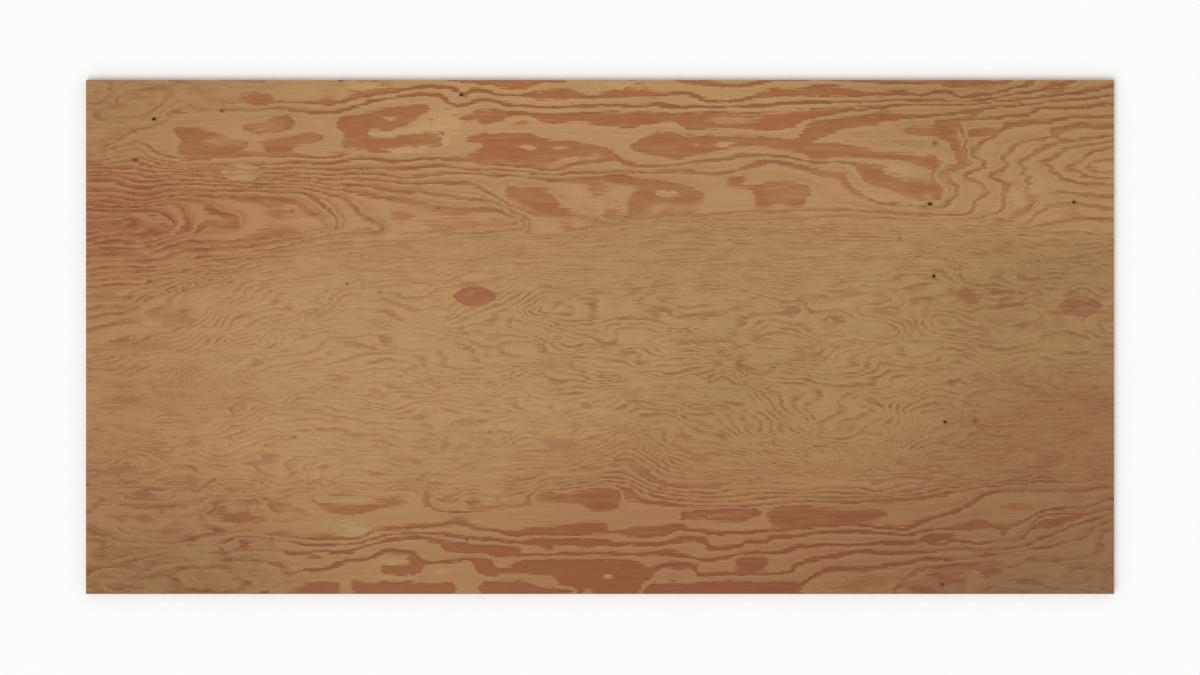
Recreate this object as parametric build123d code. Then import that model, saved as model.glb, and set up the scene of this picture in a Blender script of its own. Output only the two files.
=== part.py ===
from build123d import *
import os

# Plywood sheet of five Douglas-fir plies, with boat-shaped patches let into its good face.
# Millimetres, +Z up. The origin is the middle of the underside. X runs along the grain of the
# face, Y runs across it, and the good face is up.

# Whole sheet: 8 ft along the grain by 4 ft
sheet_length = 2438.4
sheet_width = 1219.2

# Plies, from the good face down. The grain of each crossband runs across the sheet.
face_thickness = 2.8
crossband_thickness = 4.2
centre_thickness = 4.3
back_thickness = 2.8

# Crossbands: a lathe peels no veneer as wide as the sheet is long, so each is two veneers
# laid edge to edge. The joints of the two crossbands are staggered about the middle.
crossband_joint_offset = 140.0
crossband_gap = 0.8

# Boat patches, along the grain: two arcs that meet at each end, where the tip is rounded off.
# These are the cut-out's sizes, with its length taken between the points where the arcs meet.
patch_length = 106.0
patch_width = 47.5
patch_tip_radius = 2.0
patch_glue_line = 0.15

# Open pin knots, where a twig's knot has dropped out of the face veneer
pin_knot_length = 6.5
pin_knot_width = 5.0

# Ends and long edges of the sheet, as seen with the good face up
LEFT = -1
RIGHT = 1
NEAR = -1
FAR = 1


def measured_in(end, from_end, edge, from_edge):
    """Point of the face at these distances in from one end and one long edge."""
    x = end * (sheet_length / 2 - from_end)
    y = edge * (sheet_width / 2 - from_edge)
    return x, y


# Centre of each patch and of each open pin knot
patch_centres = {
    "patch_upper_left": measured_in(LEFT, 370.0, FAR, 219.0),
    "patch_centre": measured_in(LEFT, 922.0, FAR, 513.0),
    "patch_right_end": measured_in(RIGHT, 79.0, FAR, 536.0),
    "patch_lower_left": measured_in(LEFT, 627.5, NEAR, 157.5),
}
pin_knot_centres = [
    measured_in(LEFT, 161.0, FAR, 92.5),
    measured_in(LEFT, 891.0, FAR, 35.0),
    measured_in(RIGHT, 427.0, FAR, 465.0),
    measured_in(RIGHT, 436.5, FAR, 294.0),
    measured_in(RIGHT, 95.0, FAR, 289.5),
    measured_in(RIGHT, 401.0, NEAR, 408.0),
]

# Underside of each ply, stacked from the back veneer up
lower_crossband_bottom = back_thickness
centre_bottom = lower_crossband_bottom + crossband_thickness
upper_crossband_bottom = centre_bottom + centre_thickness
face_bottom = upper_crossband_bottom + crossband_thickness


def full_ply(bottom, thickness):
    """One veneer of the sheet's full size, sawn square on all four edges."""
    outline = Rectangle(sheet_length, sheet_width)
    return Pos(Z=bottom) * extrude(outline, thickness)


def crossband_half(bottom, end, joint_x):
    """The part of a crossband between one end of the sheet and the joint."""
    joint_face = joint_x + end * crossband_gap / 2
    end_face = end * sheet_length / 2
    outline = Pos(X=(joint_face + end_face) / 2) * Rectangle(abs(end_face - joint_face), sheet_width)
    return Pos(Z=bottom) * extrude(outline, crossband_thickness)


def boat_outline(clearance):
    """Outline of the cut-out for a patch, drawn in by a clearance all round."""
    half_width = patch_width / 2
    arc_radius = (patch_length**2 / 4 + half_width**2) / (2 * half_width)
    disc = Circle(arc_radius - clearance)
    arc_centre = arc_radius - half_width
    lens = Pos(Y=arc_centre) * disc & Pos(Y=-arc_centre) * disc
    return fillet(lens.vertices(), patch_tip_radius - clearance)


def face_veneer():
    """The good face, cut through for each patch and open at each dropped pin knot."""
    veneer = full_ply(face_bottom, face_thickness)
    cut_out = extrude(boat_outline(0), face_thickness)
    pin_knot = extrude(Ellipse(pin_knot_length / 2, pin_knot_width / 2), face_thickness)
    for x, y in patch_centres.values():
        veneer -= Pos(x, y, face_bottom) * cut_out
    for x, y in pin_knot_centres:
        veneer -= Pos(x, y, face_bottom) * pin_knot
    return veneer


def patch(x, y):
    """A boat patch, as thick as the face veneer, inside its glue line."""
    return Pos(x, y, face_bottom) * extrude(boat_outline(patch_glue_line), face_thickness)


pieces = {
    "face_veneer": face_veneer(),
    "crossband_upper_left": crossband_half(upper_crossband_bottom, LEFT, crossband_joint_offset),
    "crossband_upper_right": crossband_half(upper_crossband_bottom, RIGHT, crossband_joint_offset),
    "centre_ply": full_ply(centre_bottom, centre_thickness),
    "crossband_lower_left": crossband_half(lower_crossband_bottom, LEFT, -crossband_joint_offset),
    "crossband_lower_right": crossband_half(lower_crossband_bottom, RIGHT, -crossband_joint_offset),
    "back_veneer": full_ply(0, back_thickness),
}
for name, (x, y) in patch_centres.items():
    pieces[name] = patch(x, y)

os.makedirs("parts", exist_ok=True)
for name, piece in pieces.items():
    export_step(piece, f"parts/{name}.step")
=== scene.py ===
import bmesh
import bpy
import numpy as np
from mathutils.geometry import delaunay_2d_cdt
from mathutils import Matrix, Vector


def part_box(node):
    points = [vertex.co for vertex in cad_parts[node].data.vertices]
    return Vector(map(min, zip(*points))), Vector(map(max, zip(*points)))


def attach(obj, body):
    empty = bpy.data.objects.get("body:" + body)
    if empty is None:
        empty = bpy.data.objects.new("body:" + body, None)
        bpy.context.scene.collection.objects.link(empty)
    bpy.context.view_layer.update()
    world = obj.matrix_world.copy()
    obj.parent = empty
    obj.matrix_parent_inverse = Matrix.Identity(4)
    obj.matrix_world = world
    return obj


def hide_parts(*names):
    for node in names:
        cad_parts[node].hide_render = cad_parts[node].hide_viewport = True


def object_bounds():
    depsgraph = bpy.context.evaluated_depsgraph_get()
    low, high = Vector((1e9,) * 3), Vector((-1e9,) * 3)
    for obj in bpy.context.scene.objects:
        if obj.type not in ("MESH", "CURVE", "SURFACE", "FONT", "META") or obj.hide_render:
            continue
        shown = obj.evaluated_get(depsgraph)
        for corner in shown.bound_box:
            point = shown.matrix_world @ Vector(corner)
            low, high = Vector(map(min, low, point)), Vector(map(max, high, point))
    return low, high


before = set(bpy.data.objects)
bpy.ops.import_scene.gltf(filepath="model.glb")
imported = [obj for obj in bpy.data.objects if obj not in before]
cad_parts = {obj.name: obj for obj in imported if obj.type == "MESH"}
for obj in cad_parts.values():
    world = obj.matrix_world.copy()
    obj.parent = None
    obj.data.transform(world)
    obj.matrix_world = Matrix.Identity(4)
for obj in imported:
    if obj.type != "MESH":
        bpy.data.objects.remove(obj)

# Sheet of Douglas-fir plywood, lying good face up. Metres, +Z up, X along the face grain.
MM = 0.001

cad_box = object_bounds()
LOW, HIGH = (np.array(corner) for corner in cad_box)
FACE_LOW, FACE_HIGH = (np.array(corner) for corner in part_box("face_veneer"))

# The photograph that the figure was laid out over: one pixel's real size, the frame's width and height in
# pixels, and the pixel over the sheet's middle
PIXEL = 2.372 * MM
PHOTO_WIDTH = 1200
PHOTO_HEIGHT = 675
MIDDLE_PIXEL = (600.0, 337.0)


def to_pixels(x, y):
    """Place on the face, in metres, as a place in the photograph's frame."""
    return MIDDLE_PIXEL[0] + x / PIXEL, MIDDLE_PIXEL[1] - y / PIXEL


LEFT_PIXEL, NEAR_PIXEL = to_pixels(LOW[0], LOW[1])
RIGHT_PIXEL, FAR_PIXEL = to_pixels(HIGH[0], HIGH[1])


# Figure

# Growth rings that the lathe's knife cut through. Each line is the dark latewood of one ring, numbered from
# the outside of the log in. The knife ran nearly along the rings at the far and near edges, one turn of the
# log apart, which gives their bold bands and islands. Places are pixels of the photograph. A line is a ring's
# number and its course, an island the outline of a spot where one ring's latewood lies wide, and a clearing a
# course of pale wood.
far_lines = {
    "edge": (0, [
        (86, 79), (200, 81), (400, 78), (480, 83), (520, 85), (550, 81), (600, 79), (660, 79), (735, 86),
        (775, 82), (820, 80), (920, 85), (960, 88), (1000, 84), (1020, 78),
    ]),
    "first": (1, [
        (86, 90), (118, 97), (150, 98), (205, 99), (224, 105), (245, 105), (300, 104), (330, 104),
        (356, 98), (385, 94), (415, 90), (448, 89), (456, 92), (463, 97), (472, 93), (485, 92), (497, 95),
        (530, 96), (600, 97), (650, 96), (693, 93), (710, 102), (725, 103), (740, 102), (765, 96),
        (790, 97), (850, 96), (922, 96), (930, 92), (942, 91), (950, 94), (960, 97), (985, 96), (1003, 92),
        (1030, 83), (1040, 78),
    ]),
    "second": (2, [
        (86, 150), (112, 141), (130, 132), (145, 127), (163, 113), (175, 109), (205, 108), (240, 110),
        (285, 113), (310, 115), (325, 112), (345, 112), (352, 108), (372, 100), (405, 97), (437, 97),
        (452, 105), (461, 106), (470, 103), (480, 101), (495, 102), (505, 105), (520, 107), (590, 107),
        (605, 105), (640, 105), (660, 103), (690, 108), (745, 108), (800, 104), (900, 101), (975, 100),
        (1000, 96), (1020, 92), (1045, 88), (1070, 82), (1080, 78),
    ]),
    "third": (3, [
        (473, 117), (488, 123), (500, 121), (513, 115), (525, 114), (535, 116), (540, 122), (550, 124),
        (570, 120), (585, 120), (597, 123), (606, 125), (630, 127), (647, 123), (658, 121), (675, 119),
        (688, 127), (700, 128), (773, 129), (782, 128), (792, 124), (800, 119), (817, 117), (856, 113),
        (885, 110), (920, 105), (950, 105), (975, 103), (1000, 100), (1030, 97), (1060, 94), (1085, 90),
        (1114, 85),
    ]),
    "fourth_far": (4, [
        (797, 141), (810, 128), (825, 124), (850, 122), (880, 121), (910, 119), (935, 117), (968, 112),
        (985, 108), (1025, 104), (1070, 99), (1114, 95),
    ]),
    "fourth_near": (4, [
        (790, 146), (800, 150), (810, 153), (890, 156), (908, 160), (920, 163), (932, 166), (938, 171),
    ]),
}
far_islands = {
    "first_blob": (0.85, [(243, 98), (250, 95), (268, 94), (273, 98), (271, 104), (262, 107), (248, 105)]),
    "first_wide": (0.85, [(528, 96), (545, 92), (560, 90), (575, 92), (587, 96), (560, 98)]),
    "first_bank": (0.85, [
        (757, 98), (765, 93), (778, 90), (803, 92), (815, 88), (830, 88), (850, 91), (900, 92), (915, 94),
        (900, 97), (800, 98),
    ]),
    "third_start": (2.85, [
        (473, 112), (500, 112), (513, 113), (505, 117), (500, 121), (490, 124), (480, 122),
    ]),
    "third_wide": (2.84, [
        (535, 114), (560, 115), (600, 113), (640, 113), (704, 113), (770, 114), (772, 128), (704, 127),
        (688, 126), (675, 118), (658, 120), (647, 122), (630, 126), (606, 125), (597, 123), (585, 119),
        (570, 119), (550, 123), (540, 121),
    ]),
    "third_end": (2.84, [
        (765, 115), (790, 112), (815, 110), (856, 108), (885, 109), (856, 113), (817, 117), (800, 118),
        (792, 123), (780, 128), (766, 128),
    ]),
    "fork_left": (2.86, [
        (336, 124), (343, 119.5), (354, 117), (368, 114), (377, 111), (394, 109), (410, 106), (425, 105),
        (428, 108), (421, 115), (414, 119.5), (408, 123), (399, 126), (392, 128), (383, 129), (376, 128),
        (366, 130), (366, 136), (376, 138), (383, 138), (399, 136), (414, 134.5), (434, 135), (439, 137),
        (439, 142), (430, 143), (410, 143), (392, 144), (380, 146), (368, 150), (354, 150), (346, 146),
        (343, 139), (345, 133), (341, 128),
    ]),
    "left_island": (2.86, [
        (170, 124), (177, 130), (193, 129), (212, 133), (225, 137), (240, 140), (247, 142), (241, 150),
        (230, 155), (205, 156), (190, 154), (181, 151), (175, 146), (179, 141), (174, 134),
    ]),
    "left_arm": (2.85, [
        (247, 142), (262, 143), (277, 139), (295, 138), (310, 134), (323, 135), (324, 139), (312, 142),
        (297, 144), (292, 147), (283, 152), (268, 154), (264, 150), (267, 146),
    ]),
    "left_ring": (2.84, [
        (238, 128), (250, 125), (262, 124), (272, 121), (287, 122), (296, 127), (290, 129), (275, 133),
        (258, 134), (245, 131),
    ]),
    "middle_island": (3.86, [
        (468, 138), (485, 136), (500, 134), (530, 134), (537, 138), (550, 141), (568, 141), (583, 144),
        (598, 148), (592, 153), (583, 157), (565, 158), (550, 163), (533, 164), (520, 162), (500, 160),
        (477, 158), (470, 156), (479, 152), (485, 147), (490, 144), (480, 142), (468, 141),
    ]),
    "right_island": (3.85, [
        (630, 147), (641, 142), (650, 137), (663, 133), (675, 132), (683, 135), (700, 137), (763, 137),
        (798, 138), (800, 150), (783, 147), (763, 146), (742, 147), (717, 151), (692, 155), (678, 159),
        (663, 157), (650, 154), (642, 151),
    ]),
    "right_bank": (3.85, [
        (800, 141), (803, 130), (808, 123), (825, 120), (856, 116), (905, 116), (880, 122), (850, 128),
        (825, 132), (810, 135),
    ]),
    "near_side": (3.86, [
        (790, 147), (805, 150), (856, 152), (915, 155), (935, 161), (941, 170), (933, 168), (915, 161),
        (856, 158), (810, 157),
    ]),
    "edge_red": (-0.15, [(478, 80), (500, 78), (530, 80), (531, 85), (515, 87), (490, 84)]),
}
far_clearings = {
    "second_to_third": (2.3, [(300, 124), (320, 126), (328, 138), (325, 147), (300, 150)]),
    "by_left_island": (2.3, [(164, 122), (166, 134), (163, 145), (168, 152)]),
    "above_middle": (3.3, [
        (430, 126), (470, 127), (550, 130), (620, 134), (645, 129), (670, 126), (690, 131), (740, 133),
        (780, 133), (795, 129), (805, 121), (830, 117), (856, 114),
    ]),
    "by_fork": (3.3, [(445, 128), (450, 140), (445, 152), (425, 150), (400, 151)]),
    "in_fork": (2.42, [
        (373, 133), (386, 133.5), (400, 131), (414, 128), (428, 124), (436, 130), (447, 138),
    ]),
    "between_islands": (3.35, [
        (604, 138), (612, 143), (617, 150), (630, 155), (655, 159), (690, 160), (715, 156), (745, 151),
        (775, 150),
    ]),
    "above_left_ring": (2.35, [(180, 120), (230, 119), (290, 118), (320, 119)]),
    "round_left_ring": (2.4, [(225, 125), (228, 131), (250, 136), (290, 133), (303, 127)]),
    "below_right": (3.42, [(800, 156), (860, 160), (890, 161), (905, 166), (920, 170)]),
    "below_middle": (3.45, [(480, 160), (520, 164), (550, 165), (580, 161)]),
    "oval_near": (4.25, [
        (803, 144), (825, 139), (850, 145), (880, 150), (915, 153), (940, 160), (948, 150),
    ]),
    "oval_far": (4.3, [(815, 141), (840, 131), (870, 127), (900, 124), (930, 123)]),
}

# Between the bands: nested points at the left end, hooks at the right end, fine lines in the middle
middle_lines = {
    "left_third": (3, [
        (86, 153), (112, 148), (134, 144), (140, 142), (153, 153), (163, 157), (180, 160), (228, 158),
        (250, 157), (330, 156), (350, 151),
    ]),
    "fourth": (4, [
        (86, 159), (125, 153), (141, 150), (163, 161), (180, 164), (235, 165), (285, 162), (340, 160),
        (362, 156), (400, 159), (440, 161), (475, 161), (520, 167), (560, 167), (585, 164), (615, 160),
        (645, 163), (680, 163), (715, 161), (745, 154), (775, 153), (800, 161), (850, 164), (887, 168),
        (891, 175), (905, 181), (925, 184), (943, 194),
    ]),
    "fourth_link": (4, [(598, 148), (607, 149), (613, 153), (619, 158), (627, 162)]),
    "fifth": (5, [
        (340, 166), (400, 167), (450, 167), (490, 169), (520, 172), (560, 172), (600, 169), (680, 170),
        (725, 172), (757, 162), (775, 160), (805, 169), (845, 175),
    ]),
    "sixth": (6, [(340, 172), (400, 173), (470, 171), (508, 177), (560, 178), (598, 178)]),
    "seventh": (7, [
        (340, 178), (420, 181), (470, 184), (493, 193), (510, 208), (545, 216), (580, 218), (650, 224),
        (620, 228), (500, 238), (450, 243), (350, 254), (250, 265), (170, 280), (86, 287),
    ]),
    "ninth": (9, [
        (340, 190), (370, 197), (430, 208), (490, 216), (520, 223), (495, 228), (400, 237), (300, 248),
        (205, 264), (86, 276),
    ]),
    "left_seventh": (7, [(86, 170), (150, 173), (225, 175)]),
    "point_10": (10, [
        (86, 183), (200, 187), (300, 187), (331, 194), (355, 207), (365, 215), (382, 222), (378, 228),
        (355, 232), (300, 242), (240, 254), (170, 264), (86, 271),
    ]),
    "point_11": (11, [
        (86, 190), (200, 194), (250, 191), (298, 192), (310, 196), (323, 206), (334, 217), (338, 226),
        (333, 231), (290, 238), (235, 247), (175, 257), (86, 264),
    ]),
    "point_12": (12, [
        (86, 196), (200, 200), (240, 199), (272, 198), (291, 201), (307, 208), (329, 227), (320, 231),
        (250, 238), (205, 243), (150, 254), (86, 259),
    ]),
    "point_13": (13, [
        (86, 201), (190, 203), (205, 206), (215, 211), (239, 221), (228, 224), (211, 223), (203, 226),
        (188, 237), (130, 249), (86, 253),
    ]),
    "point_14": (14, [(86, 206), (165, 206), (180, 209), (188, 224), (185, 231), (150, 241), (86, 246)]),
    "point_15": (15, [(86, 211), (145, 212), (160, 216), (171, 225), (162, 231), (120, 237), (86, 239)]),
    "point_16": (16, [(86, 217), (110, 219), (135, 224), (125, 230), (86, 232)]),
    "point_17": (17, [(86, 222), (108, 223.5), (120, 225.5), (108, 227), (86, 228)]),
    "left_rise": (3, [
        (86, 330), (112, 321), (137, 309), (152, 299), (198, 288), (240, 278), (300, 268), (400, 256),
        (520, 243), (640, 233), (700, 229),
    ]),
    "left_rise_2": (2, [
        (86, 348), (105, 343), (120, 339), (133, 333), (142, 330), (160, 330), (178, 327), (195, 320),
        (210, 305), (250, 286), (280, 280),
    ]),
    "hook_5": (5, [
        (1114, 104), (1072, 108), (1042, 107), (1036, 112), (1028, 115), (985, 120), (938, 123), (942, 130),
        (950, 137), (958, 143), (957, 152), (965, 160), (965, 167), (950, 171), (940, 174),
    ]),
    "hook_6": (6, [
        (1114, 118), (1060, 121), (1003, 123), (998, 132), (988, 142), (970, 150), (972, 155), (980, 160),
        (982, 165), (970, 170), (967, 178), (977, 183), (987, 193), (977, 200), (971, 208), (960, 215),
        (890, 213), (720, 212), (655, 217), (600, 216),
    ]),
    "hook_7": (7, [
        (1114, 128), (1070, 128), (1052, 130), (1060, 137), (1043, 140), (1027, 143), (1017, 148),
        (1005, 153), (998, 157), (1002, 163), (1003, 168), (990, 172), (992, 178), (1010, 187), (1000, 194),
        (1004, 203), (996, 212), (975, 219), (800, 217), (690, 219),
    ]),
    "hook_8": (8, [
        (1114, 138), (1085, 142), (1062, 146), (1045, 150), (1035, 152), (1024, 158), (1018, 162),
        (1023, 167), (1025, 172), (1022, 175), (1030, 180), (1026, 190), (1024, 196), (1033, 201),
        (1028, 208), (1020, 216), (1000, 221), (940, 223), (800, 222),
    ]),
    "hook_9": (9, [
        (1114, 145), (1090, 149), (1068, 152), (1056, 157), (1044, 161.5), (1050, 166), (1053, 171),
        (1060, 177), (1076, 181), (1114, 184),
    ]),
    "hook_10": (10, [
        (1114, 152), (1098, 155), (1086, 160), (1076, 163), (1067, 166), (1072, 170), (1082, 173),
        (1114, 177),
    ]),
    "hook_11": (11, [(1114, 161), (1096, 165), (1088, 168), (1096, 170), (1114, 171)]),
    "fine_5": (5, [(1114, 232), (980, 231), (800, 229), (720, 227)]),
    "fine_0": (0, [(1114, 252), (980, 250), (700, 247), (600, 250), (500, 256), (400, 265), (340, 270)]),
    "fine_5_down": (-5, [
        (1114, 275), (960, 268), (700, 268), (600, 271), (480, 277), (380, 290), (300, 310), (220, 345),
        (150, 372), (86, 382),
    ]),
    "nest_9": (-9, [
        (1114, 292), (900, 288), (760, 283), (640, 280), (560, 281), (525, 284), (512, 292), (508, 302),
        (512, 314), (525, 327), (560, 337), (640, 342), (760, 345), (900, 348), (1114, 350),
    ]),
    "nest_11": (-11, [
        (900, 300), (760, 293), (640, 289), (565, 289), (540, 292), (524, 299), (522, 308), (531, 318),
        (560, 327), (640, 333), (760, 336), (900, 338),
    ]),
    "nest_13": (-13, [
        (800, 305), (700, 299), (600, 297), (575, 297), (552, 300), (541, 306), (547, 313), (575, 318),
        (640, 323), (760, 326), (800, 320),
    ]),
    "lens_7": (-7, [
        (345, 308), (370, 300), (400, 298), (440, 301), (452, 309), (440, 317), (400, 320), (365, 317),
        (345, 308),
    ]),
    "below_nest": (-12, [
        (1114, 368), (900, 364), (760, 358), (640, 354), (540, 349), (480, 338), (440, 333), (380, 330),
        (320, 336), (270, 352), (220, 372), (150, 392), (86, 402),
    ]),
    "bowl_15": (-15, [
        (1114, 385), (960, 378), (912, 386), (882, 408), (870, 425), (845, 434), (823, 428), (800, 404),
        (770, 384), (700, 372), (600, 366), (480, 356), (400, 352), (300, 364), (200, 392), (86, 418),
    ]),
    "bowl_20": (-20, [
        (1114, 408), (990, 404), (935, 408), (903, 432), (865, 450), (836, 451), (800, 445), (770, 417),
        (735, 400), (640, 393), (500, 384), (400, 382), (300, 390), (200, 412), (86, 433),
    ]),
    "bowl_26": (-26, [
        (1114, 432), (1000, 430), (930, 438), (880, 458), (823, 463), (765, 458), (705, 440), (640, 424),
        (560, 420), (450, 414), (300, 418), (200, 432), (86, 448),
    ]),
    "rise_31": (-31, [
        (1114, 452), (950, 455), (850, 470), (750, 472), (690, 466), (655, 452), (635, 440), (620, 436),
        (600, 445), (560, 452), (450, 448), (300, 448), (200, 454), (86, 462),
    ]),
}
middle_islands = {
    "fourth_bank": (3.86, [
        (862, 172), (870, 168), (888, 168), (892, 176), (900, 182), (920, 183), (935, 186), (943, 194),
        (938, 198), (920, 196), (905, 190), (888, 182), (868, 178),
    ]),
    "sixth_ring": (5.86, [
        (602, 178), (608, 173), (628, 173), (635, 179), (655, 181), (675, 184), (692, 188), (705, 194),
        (703, 199), (694, 203), (672, 203), (655, 202), (647, 208), (640, 214), (627, 213), (630, 198),
        (635, 191), (641, 187), (625, 183), (608, 181),
    ]),
    "zigzag_island": (6.8, [
        (505, 185), (515, 185), (532, 187), (548, 187), (551, 192), (560, 197), (555, 199), (563, 203),
        (558, 207), (581, 211), (577, 215), (562, 216), (545, 215), (535, 210), (522, 203), (512, 197),
    ]),
    "ragged_ring": (5.82, [
        (727, 184), (734, 178), (743, 176), (748, 178), (741, 183), (752, 186), (775, 182), (808, 187),
        (813, 193), (805, 197), (806, 203), (795, 207), (780, 203), (755, 206), (758, 197), (752, 190),
        (742, 187),
    ]),
    "hook_blob": (5.83, [(967, 128), (975, 126), (997, 125), (993, 132), (980, 136), (968, 134)]),
    "hook_red": (4.85, [(900, 131), (912, 128), (945, 129), (952, 137), (925, 133), (908, 133)]),
    "hook_thick": (4.85, [
        (918, 131), (934, 127), (950, 125), (953, 132), (958, 142), (961, 150), (966, 160), (966, 166),
        (954, 171), (947, 170), (957, 164), (953, 156), (951, 147), (944, 140), (934, 136), (918, 135),
    ]),
    "oval_line": (4.8, [(868, 142), (885, 141), (925, 141), (928, 144), (885, 144)]),
    "oval_blob": (4.7, [(842, 136), (852, 133), (862, 134), (860, 139), (848, 140)]),
}
middle_clearings = {
    "beside_hook": (4.35, [(960, 130), (965, 140), (963, 152), (972, 163), (968, 168)]),
}

# Rings cut between the middle of the sheet and the near band, whose own numbers start again from 0
NEAR_START = -31

near_lines = {
    "edge": (0, [
        (86, 529), (180, 532), (250, 536), (288, 539), (323, 541), (350, 541), (375, 534), (392, 532),
        (403, 530), (423, 529), (437, 527), (450, 526), (470, 527), (477, 530), (500, 531), (510, 534),
        (533, 534), (570, 533), (606, 533), (640, 533), (660, 529), (683, 529), (700, 532), (720, 534),
        (747, 534), (758, 531), (783, 529), (800, 529), (856, 526), (880, 529), (906, 531), (914, 527),
        (920, 522), (932, 518), (944, 515), (958, 511), (966, 506), (975, 500), (990, 496), (1020, 495),
        (1060, 494), (1114, 492),
    ]),
    "first": (1, [
        (245, 549), (300, 549), (330, 548), (350, 547), (375, 541), (400, 536), (430, 535), (450, 536),
        (465, 538), (493, 540), (508, 542), (535, 543), (570, 544), (606, 545), (660, 544), (680, 539),
        (700, 539), (707, 542), (713, 548), (742, 548), (747, 544), (767, 543), (773, 537), (783, 536),
        (800, 538), (817, 534), (856, 532), (885, 534), (905, 535), (916, 532), (930, 528), (945, 527),
        (962, 525), (978, 521), (990, 525), (1012, 526), (1030, 521), (1045, 514), (1080, 508), (1114, 503),
    ]),
    "second": (2, [
        (86, 556), (180, 556), (245, 555), (300, 555), (350, 555), (365, 549), (383, 544), (402, 541),
        (420, 540), (438, 540), (447, 544), (452, 550), (458, 554), (480, 555), (517, 555), (560, 554),
        (606, 554), (650, 553), (675, 554), (700, 558), (720, 558), (745, 554), (783, 553), (797, 549),
        (833, 547), (856, 548), (880, 544), (900, 542), (924, 537.5), (960, 536.5), (1000, 536.5),
        (1020, 535), (1040, 528), (1060, 522), (1075, 518), (1114, 514),
    ]),
    "third": (3, [
        (200, 588), (240, 583), (259, 582), (275, 581), (288, 578), (298, 574), (325, 570), (338, 566),
        (350, 562), (370, 560), (377, 556), (388, 552), (405, 553), (414, 555), (421, 560), (427, 563),
        (450, 561), (470, 558), (484, 558.5), (491, 563), (497, 570), (515, 573), (546, 574), (580, 574),
        (606, 574), (640, 569), (650, 568), (663, 565), (675, 563), (695, 564), (697, 570), (702, 574),
        (717, 575), (763, 574), (792, 571), (794, 566), (810, 560), (822, 558), (856, 554), (885, 553),
        (905, 550), (940, 546.5), (980, 543), (1012, 539.5), (1035, 537.5), (1055, 535), (1080, 527),
        (1114, 521),
    ]),
    "fourth": (4, [
        (797, 590), (808, 580), (817, 574), (830, 570), (856, 569), (875, 567), (903, 563), (912, 560),
        (928, 556), (964, 555.5), (984, 550), (1000, 547.5), (1030, 543), (1050, 541), (1075, 535),
        (1114, 528),
    ]),
    "fifth": (5, [
        (893, 594), (903, 580), (922, 568), (940, 566), (958, 563.5), (980, 562), (1006, 555), (1040, 551),
        (1062, 547), (1090, 541), (1114, 536),
    ]),
    "sixth": (6, [(985, 594), (1005, 582), (1040, 568), (1080, 561), (1114, 551)]),
    "trough": (-5, [
        (86, 478), (250, 486), (400, 478), (500, 478), (600, 470), (613, 462), (624, 459), (635, 464),
        (651, 472), (664, 479), (683, 484), (750, 484), (850, 482), (950, 474), (1114, 468),
    ]),
    "before_edge": (-1, [
        (86, 512), (160, 503), (225, 495), (262, 503), (330, 496), (390, 493), (398, 488), (422, 489),
        (427, 494), (428, 505), (432, 510), (450, 515), (470, 514), (480, 509), (500, 506), (513, 505),
        (525, 502), (542, 501), (560, 497), (580, 493), (606, 489), (617, 488), (622, 499), (628, 487),
        (635, 500), (648, 503), (680, 505), (720, 503), (775, 500), (850, 502), (900, 497), (940, 492),
        (985, 487), (1040, 483), (1114, 481),
    ]),
}
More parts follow.
